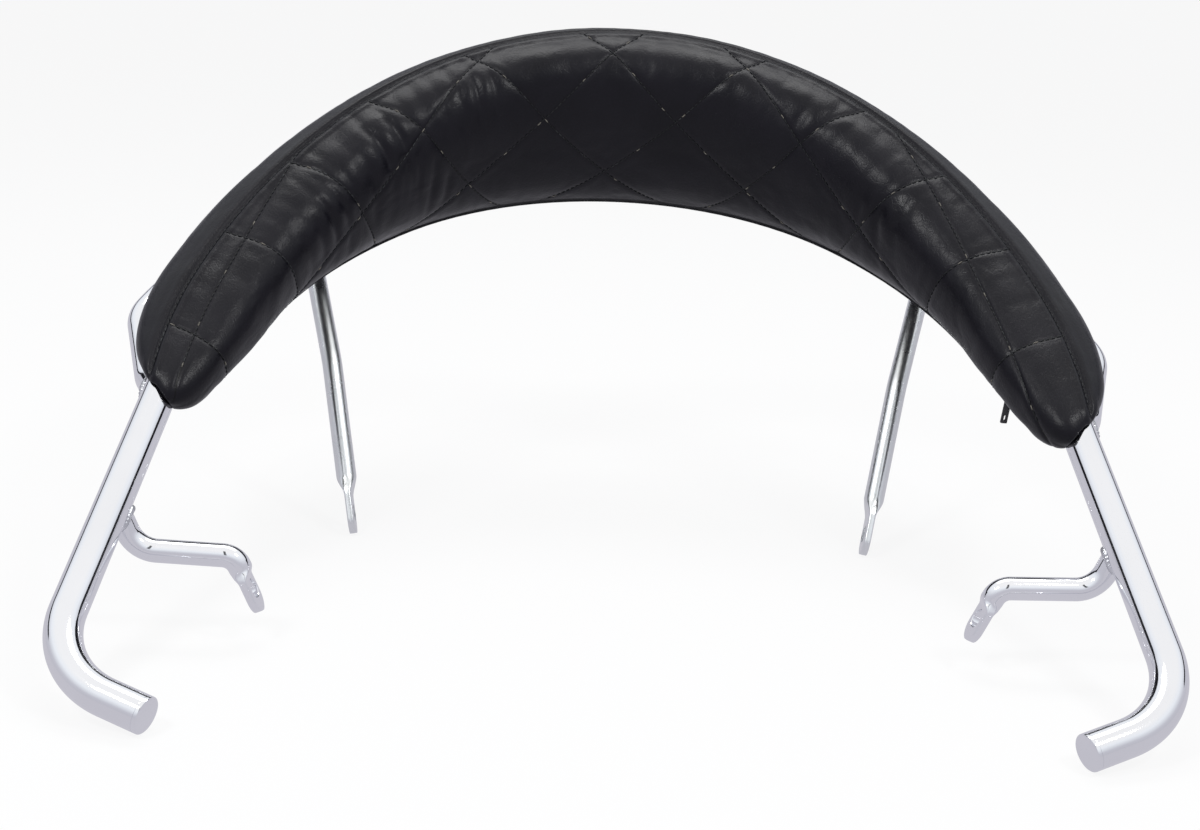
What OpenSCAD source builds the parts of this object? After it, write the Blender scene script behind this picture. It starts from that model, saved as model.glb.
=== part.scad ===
// Wrap-round driver backrest for a touring motorcycle.
// A chromed tube rail with two arms carries a quilted, zip-on pad. A second,
// thinner tube runs behind the pad, and four flattened tube ends take screws.
// Sizes are in millimetres. X is across, Y goes to the rear, Z is up.

/* [Main rail] */
// Outside diameter of the main rail tube
rail_d = 19.05; // [16:0.05:25.4]
// Wall of the main rail tube
rail_wall = 1.65; // [1.2:0.05:3]
// Bend radius of the rail's middle, on its centre line
rear_radius = 230; // [200:1:260]
// Angle that the middle bend takes on each side
rear_angle = 44.6; // [38:0.1:50]
// Bend radius of the rail's flanks, on its centre line
flank_radius = 327; // [280:1:380]
// How far each arm splays outward from straight ahead
arm_splay = 5.8; // [2:0.1:9]
// Straight length of each arm
arm_length = 165; // [130:1:200]
// Bend radius at the front of each arm
tip_radius = 50; // [38:1:60]
// Angle that the front bend turns inward
tip_angle = 72; // [55:1:85]
// Straight length after the front bend
tip_length = 20.5; // [10:0.5:40]
// How steeply the rail rises to the rear when the backrest stands on a table
rail_tilt = 30.5; // [26:0.1:34]
// Thickness of the disc that closes each rail end
cap_thickness = 2.4; // [1.5:0.1:4]
// Chamfer round each end disc
cap_chamfer = 0.8; // [0.3:0.1:1.2]

/* [Small tubes] */
// Outside diameter of the hoop, the struts and the braces
tube_d = 12.7; // [10:0.1:16]
// Wall of the small tubes
tube_wall = 1.5; // [1:0.1:2.5]
// Bend radius of the hoop behind the pad
hoop_radius = 300.7; // [285:0.1:320]
// Angle that the hoop's rear bend takes on each side
hoop_angle = 74.9; // [70:0.1:80]
// Bend radius of the hoop's two corners
corner_radius = 39; // [32:0.5:48]
// Angle that each hoop corner turns in toward its arm
corner_angle = 32.3; // [28:0.1:36]
// Length of the hoop from each corner to its last bend, beside the arm
hoop_end = 56; // [50:0.5:60]
// Radius of the hoop's last bend, in toward the arm
join_radius = 25; // [18:1:35]
// Distance from the arm's rear end to the point that the hoop's end aims at
hoop_foot = 19; // [17:0.5:24]
// How much flatter the hoop lies than the rail
hoop_drop = 9.6; // [8:0.1:12]
// How far the hoop passes behind the rail at the middle
hoop_behind = 38; // [36:0.5:48]
// How far the hoop's plane is below the rail where they meet
hoop_under = 13.5; // [12:0.5:18]
// Angle from the middle to the place where a strut joins the hoop
strut_at = 45.6; // [41:0.1:50]
// Sideways distance from the middle to a strut's screw hole
strut_hole_x = 165; // [150:1:178]
// Distance that a strut's screw hole lies behind the part's middle
strut_hole_y = 41; // [20:1:60]
// Sideways distance from the middle to a strut's bend
strut_bend_x = 184; // [172:1:196]
// Distance that a strut's bend lies behind the part's middle
strut_bend_y = 87; // [70:1:100]
// Height of a strut's bend
strut_bend_z = 99; // [85:1:115]
// Bend radius of the struts
strut_radius = 60; // [40:1:90]
// Sideways distance from the middle to a brace's screw hole
brace_hole_x = 196; // [180:1:206]
// Height of a brace's screw hole
brace_hole_z = 29; // [24:0.5:34]
// Height of a brace's straight length
brace_run_z = 47.5; // [44:0.5:50]
// Distance of a brace in front of the part's middle
brace_y = 130.5; // [115:0.5:145]
// Sideways distance from the middle to a brace's outer bend
brace_bend_x = 256; // [250:0.5:258]
// Bend radius of the braces beside the arms
brace_radius = 17; // [14:0.5:20]
// Bend radius of the braces above their flats
brace_end_radius = 10; // [8:0.5:12]

/* [Flattened ends] */
// Thickness of a flattened tube end
flat_thickness = 4.6; // [3.5:0.1:6]
// Width of a flattened tube end
flat_width = 17.5; // [15:0.1:20]
// Distance from a screw hole to the end of its flat
flat_end = 13.2; // [11:0.1:16]
// Length of the flat on the tube side of its screw hole
flat_back = 11; // [9:0.5:14]
// Length over which a strut is squeezed flat
squeeze_length = 13; // [9:0.5:18]
// Length of a brace's flat on the tube side of its screw hole
brace_flat_back = 6; // [5.5:0.25:8]
// Length over which a brace is squeezed flat
brace_squeeze = 7; // [5:0.25:9]
// Diameter of the four screw holes
screw_hole_d = 10.3; // [8:0.1:11]

/* [Welds] */
// Clearance between a tube end, its weld and the tube it stands on
weld_gap = 0.3; // [0.2:0.05:0.5]
// How far a weld spreads round the tube it holds
weld_spread = 2.4; // [1.5:0.1:3.5]
// Length of a weld along the tube it holds
weld_length = 5; // [3:0.5:8]

/* [Pad] */
// Length of the pad along the rail, end to end
pad_length = 796; // [740:2:800]
// Height of the pad's section at the middle
pad_height = 124; // [110:1:136]
// Height of the pad's section near its ends
pad_end_height = 42; // [38:1:46]
// Thickness of the pad's section at the middle
pad_thickness = 76; // [70:1:78]
// Thickness of the pad's section near its ends
pad_end_thickness = 66; // [60:1:70]
// Distance of the section's middle from the rail, toward the rider
pad_offset = 3; // [1:0.5:6]
// Squareness of the pad's section, where 2 is an ellipse
pad_square = 2.6; // [2:0.1:3.2]
// Length over which each pad end is rounded off
pad_nose = 60; // [40:1:80]
// Thickness of the cover, with its backing
cover_thickness = 2.5; // [1.5:0.1:4]
// Clearance between the cover and the foam
cover_gap = 1.2; // [1:0.1:2]
// Clearance between the foam and the rail inside it
rail_gap = 0.8; // [0.8:0.1:1.5]
// Height of the quilted puffs on the front panel
quilt_depth = 4; // [2:0.2:6]
// Width of one quilted diamond
quilt_width = 88; // [70:1:100]
// Steepness of the quilting lines
quilt_slope = 1.02; // [0.9:0.02:1.3]
// Radius of the curved panel when it is laid flat
panel_radius = 457; // [430:1:560]
// How far the rising quilting lines are slid along the pad
quilt_shift_up = 34; // [20:1:48]
// How far the falling quilting lines are slid along the pad
quilt_shift_down = -11; // [-25:1:5]

/* [Zip] */
// Width of each zip tape
tape_width = 5; // [4:0.2:7]
// Thickness of the zip tapes
tape_thickness = 0.9; // [0.6:0.1:1.2]
// Width of each row of zip teeth
teeth_width = 2; // [1.5:0.1:2.6]
// Thickness of the zip teeth
teeth_thickness = 2.2; // [1.8:0.1:2.8]
// Clearance between neighbouring zip parts
zip_gap = 0.35; // [0.3:0.05:0.5]
// Distance from each pad end to the end of the zip
zip_margin = 24; // [18:1:40]
// Length of the zip slider
slider_length = 9; // [7:0.5:12]
// Width of the zip slider
slider_width = 7; // [6:0.5:9]
// Thickness of each of the slider's two plates
slider_plate = 1; // [0.8:0.1:1.4]
// Length of the zip pull
pull_length = 16; // [12:0.5:22]
// Width of the zip pull
pull_width = 4.2; // [3:0.1:6]
// Thickness of the zip pull
pull_thickness = 1.2; // [1:0.1:1.6]

/* [Hidden] */
$fn = 48;
rail_r = rail_d / 2;
tube_r = tube_d / 2;
flank_angle = 90 - arm_splay - rear_angle;
rear_len = rear_radius * rear_angle * PI / 180;
flank_len = flank_radius * flank_angle * PI / 180;

// Neighbouring stretches of a tube differ in radius by seam_step, and the
// thinner one reaches lap into the wider one, so that they join cleanly.
seam_step = 0.1;
lap = 1.2;

// A run is a list of straight lengths [0, length] and right-hand bends
// [radius, angle], drawn in one plane from the origin along X.
rail_half = [[rear_radius, rear_angle], [flank_radius, flank_angle], [0, arm_length],
             [tip_radius, tip_angle], [0, tip_length]];
hoop_path = [[hoop_radius, hoop_angle], [corner_radius, corner_angle], [0, hoop_end]];

function turned(run) = [for (i = [len(run) - 1:-1:0]) run[i]];
function step(p, s) = s[0] == 0
    ? [p[0] + s[1] * cos(p[2]), p[1] + s[1] * sin(p[2]), p[2]]
    : [p[0] + s[0] * sin(p[2]) - s[0] * sin(p[2] - s[1]),
       p[1] - s[0] * cos(p[2]) + s[0] * cos(p[2] - s[1]), p[2] - s[1]];
function walk(run, n) = n == 0 ? [0, 0, 0] : step(walk(run, n - 1), run[n - 1]);

// Where the rail's middle lies once the tips rest on the table
rail_tip = walk(rail_half, len(rail_half));
rail_y = 179.66;
tip_drop = abs(sin(rail_tip[2]) * sin(rail_tilt));
rail_z = rail_r * sqrt(1 - tip_drop * tip_drop) + (cap_thickness - cap_chamfer) * tip_drop
    - rail_tip[1] * sin(rail_tilt);

// From the rail's own plane to the table's frame
function lift(p) = [p[0], rail_y + p[1] * cos(rail_tilt) - p[2] * sin(rail_tilt),
                    rail_z + p[1] * sin(rail_tilt) + p[2] * cos(rail_tilt)];

// The hoop's plane turns about a line across the two arms, where it meets them
arm_start = walk(rail_half, 2);
hoop_join_v = arm_start[1];
function hoop_plane(p) = [p[0], hoop_join_v + (p[1] - hoop_join_v) * cos(hoop_drop),
                          -hoop_under - (p[1] - hoop_join_v) * sin(hoop_drop)];
hoop_top = hoop_behind + 4;
function on_hoop(p) = lift(hoop_plane([p[0], hoop_top + p[1], 0]));
hoop_corner = on_hoop(walk(hoop_path, 2));
hoop_bend = on_hoop(walk(hoop_path, 3));

// Points along the small tubes, for the right-hand side
strut_joint = lift(hoop_plane([hoop_radius * sin(strut_at),
                               hoop_top - hoop_radius * (1 - cos(strut_at)), 0]));
strut_bend = [strut_bend_x, strut_bend_y, strut_bend_z];
strut_aim = unit([strut_hole_x - strut_bend_x, strut_hole_y - strut_bend_y, flat_end - strut_bend_z]);
strut_lean = abs(strut_aim[0] * strut_aim[2]) / sqrt(1 - strut_aim[0] * strut_aim[0]);
strut_hole = [strut_hole_x, strut_hole_y, -(flat_end - flat_width / 2) * strut_aim[2]
              + flat_width / 2 * sqrt(1 - strut_lean * strut_lean) + flat_thickness / 2 * strut_lean];
strut_dir = unit(strut_hole - strut_bend);
arm_dir = [sin(arm_splay), -cos(arm_splay) * cos(rail_tilt), -cos(arm_splay) * sin(rail_tilt)];
arm_origin = lift([arm_start[0], arm_start[1], 0]);
hoop_joint = arm_origin + arm_dir * hoop_foot;
hoop_trim = short_of(hoop_corner, hoop_bend, hoop_joint, join_radius);
hoop_half = [[hoop_radius, hoop_angle], [corner_radius, corner_angle], [0, hoop_end - hoop_trim + lap]];
brace_joint = arm_origin + arm_dir * ((-brace_y - arm_origin[1]) / arm_dir[1]);
brace_bend = [brace_bend_x, -brace_y, brace_run_z + 1.5];
brace_turn = [brace_hole_x + 8, -brace_y, brace_run_z];
brace_hole = [brace_hole_x, -brace_y, brace_hole_z];
brace_dir = (brace_hole - brace_turn) / norm(brace_hole - brace_turn);

// Pad section along the rail: s is the length from the middle, th the angle
// round the section from the rear, over the top, to the rider's side.
pad_half = pad_length / 2;
top_seam = 80;
zip_line = 245;
function share(s) = min(1, abs(s) / pad_half);
function half_height(s) = pad_end_height / 2
    + (pad_height - pad_end_height) / 2 * pow((1 + cos(180 * share(s))) / 2, 0.8);
function half_thick(s) = pad_end_thickness / 2
    + (pad_thickness - pad_end_thickness) / 2 * (1 - pow(share(s), 4));
collar_r = rail_r + cover_thickness + 0.5;
function tuck(s) = let (q = max(0, (abs(s) - pad_half + pad_nose) / pad_nose))
    sqrt(max(0, 1 - q * q));
function nosed(half, s) = collar_r + (half - collar_r) * tuck(s);
function curve(c) = sign(c) * pow(abs(c), 2 / pad_square);
function section(s, th, inset) = [
    -pad_offset * tuck(s) + (nosed(half_thick(s), s) - inset) * curve(cos(th)),
    (nosed(half_height(s), s) - inset) * curve(sin(th))];
function rail_at(s) = s <= rear_len
    ? let (h = s / rear_radius * 180 / PI)
      [rear_radius * sin(h), rear_radius * (cos(h) - 1), h]
    : s <= rear_len + flank_len
    ? let (h = rear_angle + (s - rear_len) / flank_radius * 180 / PI)
      [(rear_radius - flank_radius) * sin(rear_angle) + flank_radius * sin(h),
       (rear_radius - flank_radius) * cos(rear_angle) - rear_radius + flank_radius * cos(h), h]
    : let (h = 90 - arm_splay, d = s - rear_len - flank_len)
      [arm_start[0] + d * cos(h), arm_start[1] - d * sin(h), h];
function on_rail(s, q) = let (p = rail_at(abs(s)))
    [(s < 0 ? -1 : 1) * (p[0] + q[0] * sin(p[2])), p[1] + q[0] * cos(p[2]), q[1]];

// Quilting: the lines are straight on the panel laid flat, a ring sector of
// radius panel_radius, and the puffs rise between them.
function girth(s) = 1.55 * (nosed(half_height(s), s) + nosed(half_thick(s), s));
function quilt(s, u) = let (a = s / panel_radius * 180 / PI, w = girth(s) * u,
                            x = (panel_radius - w) * sin(a),
                            d = panel_radius - (panel_radius - w) * cos(a))
    quilt_depth * tuck(s) * min(1, 6 * u, 6 * (1 - u))
    * sqrt(abs(sin(180 * (x - d / quilt_slope + quilt_shift_up) / quilt_width)
               * sin(180 * (x + d / quilt_slope + quilt_shift_down) / quilt_width)));

// Placing
module at_rail() {
    translate([0, rail_y, rail_z]) rotate([rail_tilt, 0, 0]) children();
}

module at_hoop() {
    at_rail() translate([0, hoop_join_v, -hoop_under]) rotate([-hoop_drop, 0, 0])
        translate([0, -hoop_join_v, 0]) children();
}

module mirrored(side) {
    if (side < 0) mirror([1, 0, 0]) children();
    else children();
}

// Puts the origin at o with X along x and Y along y, both of length 1
module pose(o, x, y) {
    z = cross(x, y);
    translate(o) rotate([atan2(y[2], z[2]), -asin(max(-1, min(1, x[2]))), atan2(x[1], x[0])])
        children();
}

// Tubes in one plane
module run_tube(run, r, over = 0, i = 0) {
    if (i < len(run)) {
        s = run[i];
        thin = i % 2 == 0;
        before = i == 0 ? over : thin ? lap : 0;
        after = i == len(run) - 1 ? over : thin ? lap : 0;
        radius = r + (thin ? 0 : seam_step);
        if (s[0] == 0) {
            translate([-before, 0, 0]) rotate([0, 90, 0])
                cylinder(r = radius, h = before + s[1] + after);
            translate([s[1], 0, 0]) run_tube(run, r, over, i + 1);
        } else {
            more = 180 / PI / s[0];
            translate([0, -s[0], 0]) rotate([0, 0, 90 - s[1] - after * more])
                rotate_extrude(angle = s[1] + (before + after) * more, $fn = 120)
                    translate([s[0], 0]) circle(r = radius, $fn = 48);
            translate([0, -s[0], 0]) rotate([0, 0, -s[1]]) translate([0, s[0], 0])
                run_tube(run, r, over, i + 1);
        }
    }
}

module whole_run(half, top, r, r_in) {
    e = walk(half, len(half));
    middle = [half[0][0], 2 * half[0][1]];
    rest = [for (i = [1:len(half) - 1]) half[i]];
    translate([-e[0], top + e[1], 0]) rotate([0, 0, -e[2]]) difference() {
        run_tube(concat(turned(rest), [middle], rest), r);
        run_tube(concat(turned(rest), [middle], rest), r_in, 1);
    }
}

// Tubes through points
module rod(a, b, r) {
    v = b - a;
    translate(a) rotate([0, acos(v[2] / norm(v)), atan2(v[1], v[0])]) cylinder(r = r, h = norm(v));
}

module elbow(a, b, c, bend, r) {
    u = (b - a) / norm(b - a);
    w = (c - b) / norm(c - b);
    turn = acos(u * w);
    t = bend * tan(turn / 2);
    m = (w - u * (u * w)) / norm(w - u * (u * w));
    pose(b - u * t + m * bend, -m, u) rotate_extrude(angle = turn, $fn = 120)
        translate([bend, 0]) circle(r = r + seam_step, $fn = 48);
}

function short_of(a, b, c, bend) = let (u = (b - a) / norm(b - a), w = (c - b) / norm(c - b))
    bend * tan(acos(u * w) / 2);

// The squeezed stretch is a hair larger than the tube and the flat it joins
squeeze_step = 0.1;

// A squeezed tube end with its screw hole, drawn with the hole at the origin,
// the flat along Y toward its end and the flat's face normal along X
module squeezed_end(back, squeeze) {
    difference() {
        union() {
            rotate([0, 90, 0]) translate([0, 0, -flat_thickness / 2])
                linear_extrude(flat_thickness) union() {
                    translate([-flat_width / 2, -back])
                        square([flat_width, back + flat_end - flat_width / 2]);
                    translate([0, flat_end - flat_width / 2]) circle(d = flat_width);
                }
            hull() {
                translate([0, -back - squeeze, 0]) rotate([-90, 0, 0])
                    cylinder(d = tube_d + squeeze_step, h = 0.2);
                translate([-flat_thickness / 2 - squeeze_step / 2, -back, -flat_width / 2 - squeeze_step / 2])
                    cube([flat_thickness + squeeze_step, 0.2, flat_width + squeeze_step]);
            }
        }
        rotate([0, 90, 0]) translate([0, 0, -tube_d]) cylinder(d = screw_hole_d, h = 2 * tube_d);
    }
}

module end_on(hole, dir, back, squeeze) {
    n = [1, 0, 0] - dir * dir[0];
    pose(hole, n / norm(n), dir) squeezed_end(back, squeeze);
}

// A weld: a collar that thins out along the small tube, cut by both tubes
module collar(foot, dir, reach) {
    translate(foot) rotate([0, acos(dir[2]), atan2(dir[1], dir[0])])
        cylinder(r1 = tube_r + weld_spread + 1, r2 = tube_r + weld_spread / 3, h = reach + weld_length);
}

// Main rail and its ends
module main_rail() color([0.86, 0.87, 0.9]) at_rail()
    whole_run(rail_half, 0, rail_r, rail_r - rail_wall);

// The space that the right-hand arm and the end of the bend before it take,
// for cutting what stands on them
module arm_space() {
    at_rail() translate([arm_start[0], arm_start[1], 0]) rotate([0, 0, arm_start[2]]) union() {
        rotate([0, 90, 0]) cylinder(r = rail_r + weld_gap, h = arm_length);
        translate([0, -flank_radius, 0]) rotate([0, 0, 89.8])
            rotate_extrude(angle = 5, $fn = 120) translate([flank_radius, 0])
                circle(r = rail_r + weld_gap + seam_step, $fn = 48);
    }
}

module end_cap(side) color([0.86, 0.87, 0.9]) mirrored(side) at_rail()
    translate([rail_tip[0], rail_tip[1], 0]) rotate([0, 0, rail_tip[2]]) rotate([0, 90, 0]) union() {
        cylinder(r = rail_r, h = cap_thickness - cap_chamfer);
        translate([0, 0, cap_thickness - cap_chamfer])
            cylinder(r1 = rail_r, r2 = rail_r - cap_chamfer, h = cap_chamfer);
    }
module left_end_cap() end_cap(-1);
module right_end_cap() end_cap(1);

// Hoop behind the pad
module hoop_tail(r, over) {
    inward = unit(hoop_joint - hoop_bend);
    elbow(hoop_corner, hoop_bend, hoop_joint, join_radius, r);
    rod(hoop_bend + inward * (hoop_trim - lap), hoop_joint + inward * over, r);
}

module rear_hoop() color([0.86, 0.87, 0.9]) difference() {
    union() {
        at_hoop() whole_run(hoop_half, hoop_top, tube_r, tube_r - tube_wall);
        for (side = [-1, 1]) mirrored(side) difference() {
            hoop_tail(tube_r, 0);
            hoop_tail(tube_r - tube_wall, 1);
        }
    }
    arm_space();
    mirror([1, 0, 0]) arm_space();
}

// The space that the hoop's rear bend takes, for cutting what hangs from it
module hoop_space() {
    at_hoop() translate([0, hoop_top - hoop_radius, 0]) rotate([0, 0, 30])
        rotate_extrude(angle = 30, $fn = 120) translate([hoop_radius, 0])
            circle(r = tube_r + weld_gap, $fn = 48);
}

// Struts from the hoop down to the rear screw holes
module strut(side) color([0.86, 0.87, 0.9]) mirrored(side) {
    low_end = strut_hole - strut_dir * (flat_back + squeeze_length);
    back = short_of(strut_joint, strut_bend, low_end, strut_radius);
    up = (strut_joint - strut_bend) / norm(strut_joint - strut_bend);
    down = (low_end - strut_bend) / norm(low_end - strut_bend);
    difference() {
        union() {
            rod(strut_joint, strut_bend + up * (back - lap), tube_r);
            elbow(strut_joint, strut_bend, low_end, strut_radius, tube_r);
            rod(strut_bend + down * (back - lap), low_end + down * lap, tube_r);
            end_on(strut_hole, down, flat_back, squeeze_length);
        }
        rod(strut_joint, strut_bend + up * back, tube_r - tube_wall);
        hoop_space();
    }
}
module left_strut() strut(-1);
module right_strut() strut(1);

// Braces from the arms in to the front screw holes
module brace(side) color([0.86, 0.87, 0.9]) mirrored(side) {
    low_end = brace_hole - brace_dir * (brace_flat_back + brace_squeeze - lap);
    first = short_of(brace_joint, brace_bend, brace_turn, brace_radius);
    second = short_of(brace_bend, brace_turn, brace_hole, brace_end_radius);
    up = (brace_joint - brace_bend) / norm(brace_joint - brace_bend);
    across = (brace_turn - brace_bend) / norm(brace_turn - brace_bend);
    difference() {
        union() {
            rod(brace_joint, brace_bend + up * (first - lap), tube_r);
            elbow(brace_joint, brace_bend, brace_turn, brace_radius, tube_r);
            rod(brace_bend + across * (first - lap), brace_turn - across * (second - lap), tube_r);
            elbow(brace_bend, brace_turn, brace_hole, brace_end_radius, tube_r);
            rod(brace_turn + brace_dir * (second - lap), low_end, tube_r);
            end_on(brace_hole, brace_dir, brace_flat_back, brace_squeeze);
        }
        rod(brace_joint, brace_bend + up * first, tube_r - tube_wall);
        arm_space();
    }
}
module left_brace() brace(-1);
module right_brace() brace(1);

// Pad: each soft piece is a closed skin over a grid of points
function grid_faces(ni, nj) = [for (i = [0:ni - 1], j = [0:nj - 1])
    let (a = i * (nj + 1) + j, b = a + 1, c = a + nj + 1, d = c + 1) each [[a, c, b], [b, c, d]]];
function flipped(faces, shift) = [for (f = faces) [f[0] + shift, f[2] + shift, f[1] + shift]];
function rim_faces(ni, nj) = let (n = (ni + 1) * (nj + 1)) concat(
    [for (i = [0:ni - 1]) let (a = i * (nj + 1), c = a + nj + 1) each
        [[a, a + n, c], [c, a + n, c + n]]],
    [for (i = [0:ni - 1]) let (a = i * (nj + 1) + nj, c = a + nj + 1) each
        [[a, c, a + n], [c, c + n, a + n]]],
    [for (j = [0:nj - 1]) each [[j, j + 1, j + n], [j + 1, j + 1 + n, j + n]]],
    [for (j = [0:nj - 1]) let (a = ni * (nj + 1) + j) each
        [[a, a + n, a + 1], [a + 1, a + n, a + 1 + n]]]);
module shell(outer, inner, ni, nj) {
    n = (ni + 1) * (nj + 1);
    polyhedron(points = concat(outer, inner),
               faces = concat(grid_faces(ni, nj), flipped(grid_faces(ni, nj), n), rim_faces(ni, nj)),
               convexity = 10);
}

// A bar through rings of m points, closed at both ends
module bar(rings, m) {
    ni = len(rings) - 1;
    polyhedron(points = [for (ring = rings) each ring],
               faces = concat([for (i = [0:ni - 1], j = [0:m - 1])
                   let (a = i * m + j, b = i * m + (j + 1) % m, c = a + m, d = b + m)
                   each [[a, c, b], [b, c, d]]],
                   [[for (j = [0:m - 1]) j]], [[for (j = [m - 1:-1:0]) ni * m + j]]),
               convexity = 10);
}

function skin(s, th, inset) = lift(on_rail(s, section(s, th, inset)));
function unit(v) = v / norm(v);
function along(s, th) = unit(skin(s + 0.5, th, 0) - skin(s - 0.5, th, 0));
function around(s, th) = unit(skin(s, th + 0.4, 0) - skin(s, th - 0.4, 0));
function outward(s, th) = unit(cross(around(s, th), along(s, th)));

// The covers stop beside the zip, and close up past its ends
zip_half = pad_half - zip_margin;
tape_start = teeth_width + zip_gap * 1.5;
cover_start = tape_start + tape_width + zip_gap;
function cover_edge(s) = let (q = max(0, min(1, (abs(s) - zip_half - 10) / 9)))
    cover_start * (1 - q) + zip_gap / 2 * q;
function per_degree(s, th) = norm(skin(s, th + 0.4, 0) - skin(s, th - 0.4, 0)) / 0.8;
function edge_angle(s) = cover_edge(s) / per_degree(s, zip_line);

// The foam ends where its skin would grow thinner than 3 mm
foam_short = pad_nose * 0.25;
module foam_core() color([0.75, 0.74, 0.7]) {
    m = 14;
    ni = 48;
    reach = pad_half - foam_short;
    n = (ni + 1) * m;
    outer = [for (i = [0:ni], j = [0:m - 1])
        skin(-reach + 2 * reach * i / ni, 360 * j / m, cover_thickness + cover_gap)];
    hole_r = rail_r + rail_gap;
    inner = [for (i = [0:ni], j = [0:m - 1])
        lift(on_rail(-reach + 2 * reach * i / ni,
                     [hole_r * cos(360 * j / m), hole_r * sin(360 * j / m)]))];
    quads = [for (i = [0:ni - 1], j = [0:m - 1])
        let (a = i * m + j, b = i * m + (j + 1) % m, c = a + m, d = b + m)
        each [[a, c, b], [b, c, d]]];
    ends = [for (j = [0:m - 1]) let (a = j, b = (j + 1) % m, e = a + ni * m, f = b + ni * m)
        each [[a, b, a + n], [b, b + n, a + n], [e, e + n, f], [f, e + n, f + n]]];
    polyhedron(points = concat(outer, inner), faces = concat(quads, flipped(quads, n), ends),
               convexity = 10);
}

module front_cover() color([0.09, 0.09, 0.12]) {
    ni = 84;
    nj = 16;
    s_at = [for (i = [0:ni]) -pad_half + pad_length * i / ni];
    angles = [for (s = s_at) zip_line - edge_angle(s)];
    outer = [for (i = [0:ni], j = [0:nj])
        skin(s_at[i], top_seam + 0.4 + (angles[i] - top_seam - 0.4) * j / nj,
             quilt_depth * 0.5 * tuck(s_at[i]) - quilt(s_at[i], j / nj))];
    inner = [for (i = [0:ni], j = [0:nj])
        skin(s_at[i], top_seam + 0.4 + (angles[i] - top_seam - 0.4) * j / nj, cover_thickness)];
    shell(outer, inner, ni, nj);
}

module back_cover() color([0.09, 0.09, 0.12]) {
    ni = 48;
    nj = 10;
    s_at = [for (i = [0:ni]) -pad_half + pad_length * i / ni];
    first = [for (s = s_at) zip_line + edge_angle(s)];
    last = top_seam + 359.6;
    outer = [for (i = [0:ni], j = [0:nj]) skin(s_at[i], first[i] + (last - first[i]) * j / nj, 0)];
    inner = [for (i = [0:ni], j = [0:nj])
        skin(s_at[i], first[i] + (last - first[i]) * j / nj, cover_thickness)];
    shell(outer, inner, ni, nj);
}

// Zip along the pad's underside
zip_depth = 0.8;
function zip_point(s, y, z) = skin(s, zip_line, 0) + around(s, zip_line) * y + outward(s, zip_line) * z;
module zip_strip(y1, y2, thick, from, to) {
    ni = 56;
    bar([for (i = [0:ni]) let (s = from + (to - from) * i / ni)
        [zip_point(s, y1, -zip_depth + thick / 2), zip_point(s, y2, -zip_depth + thick / 2),
         zip_point(s, y2, -zip_depth - thick / 2), zip_point(s, y1, -zip_depth - thick / 2)]], 4);
}
slider_s = zip_half - 9;
module front_zip_tape() color([0.05, 0.05, 0.06])
    zip_strip(-tape_start - tape_width, -tape_start, tape_thickness, -zip_half, zip_half);
module back_zip_tape() color([0.05, 0.05, 0.06])
    zip_strip(tape_start, tape_start + tape_width, tape_thickness, -zip_half, zip_half);
module front_zip_teeth() color([0.12, 0.12, 0.13])
    zip_strip(-zip_gap / 2 - teeth_width, -zip_gap / 2, teeth_thickness,
              -zip_half + 4, slider_s + 1);
module back_zip_teeth() color([0.12, 0.12, 0.13])
    zip_strip(zip_gap / 2, zip_gap / 2 + teeth_width, teeth_thickness,
              -zip_half + 4, slider_s + 1);

// Puts X along the zip, Y across it and Z away from the pad
module on_zip(s) {
    pose(zip_point(s, 0, -zip_depth), along(s, zip_line), -around(s, zip_line)) children();
}

module plate(length, width, thick, corner) {
    linear_extrude(thick) union() {
        square([length - 2 * corner, width], center = true);
        square([length, width - 2 * corner], center = true);
        for (x = [-1, 1], y = [-1, 1])
            translate([x * (length / 2 - corner), y * (width / 2 - corner)]) circle(r = corner, $fn = 24);
    }
}

module left_zip_stop() color([0.12, 0.12, 0.13]) on_zip(-zip_half + 1.8)
    translate([0, 0, -teeth_thickness / 2])
        plate(3, 2 * teeth_width + zip_gap, teeth_thickness, 0.6);
module right_zip_stop() color([0.12, 0.12, 0.13]) for (side = [-1, 1]) on_zip(zip_half - 1)
    translate([0, side * (zip_gap + teeth_width) / 2, -teeth_thickness / 2])
        plate(2, teeth_width, teeth_thickness, 0.4);

// Slider: two plates joined by a neck, with an arch that holds the pull
plate_z = teeth_thickness / 2 + zip_gap;
arch_width = 1.6;
arch_bar = 0.9;
pin_d = pull_thickness;
pin_space = pin_d + 0.5;
neck_length = 2.4;
pivot_z = plate_z + slider_plate + pin_space / 2;
module zip_slider() color([0.12, 0.12, 0.13]) on_zip(slider_s) union() {
    translate([0, 0, plate_z]) plate(slider_length, slider_width, slider_plate, 1.6);
    translate([0, 0, -plate_z - slider_plate]) plate(slider_length, slider_width, slider_plate, 1.6);
    translate([slider_length / 2 - neck_length - 0.2, -1, -plate_z - 0.1])
        cube([neck_length, 2, 2 * plate_z + 0.2]);
    for (x = [-1, 1]) translate([x * 2.6 - 0.5, -arch_width / 2, plate_z + slider_plate - 0.1])
        cube([1, arch_width, pin_space + 0.2]);
    translate([-3.1, -arch_width / 2, plate_z + slider_plate + pin_space])
        cube([6.2, arch_width, arch_bar]);
}

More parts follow.
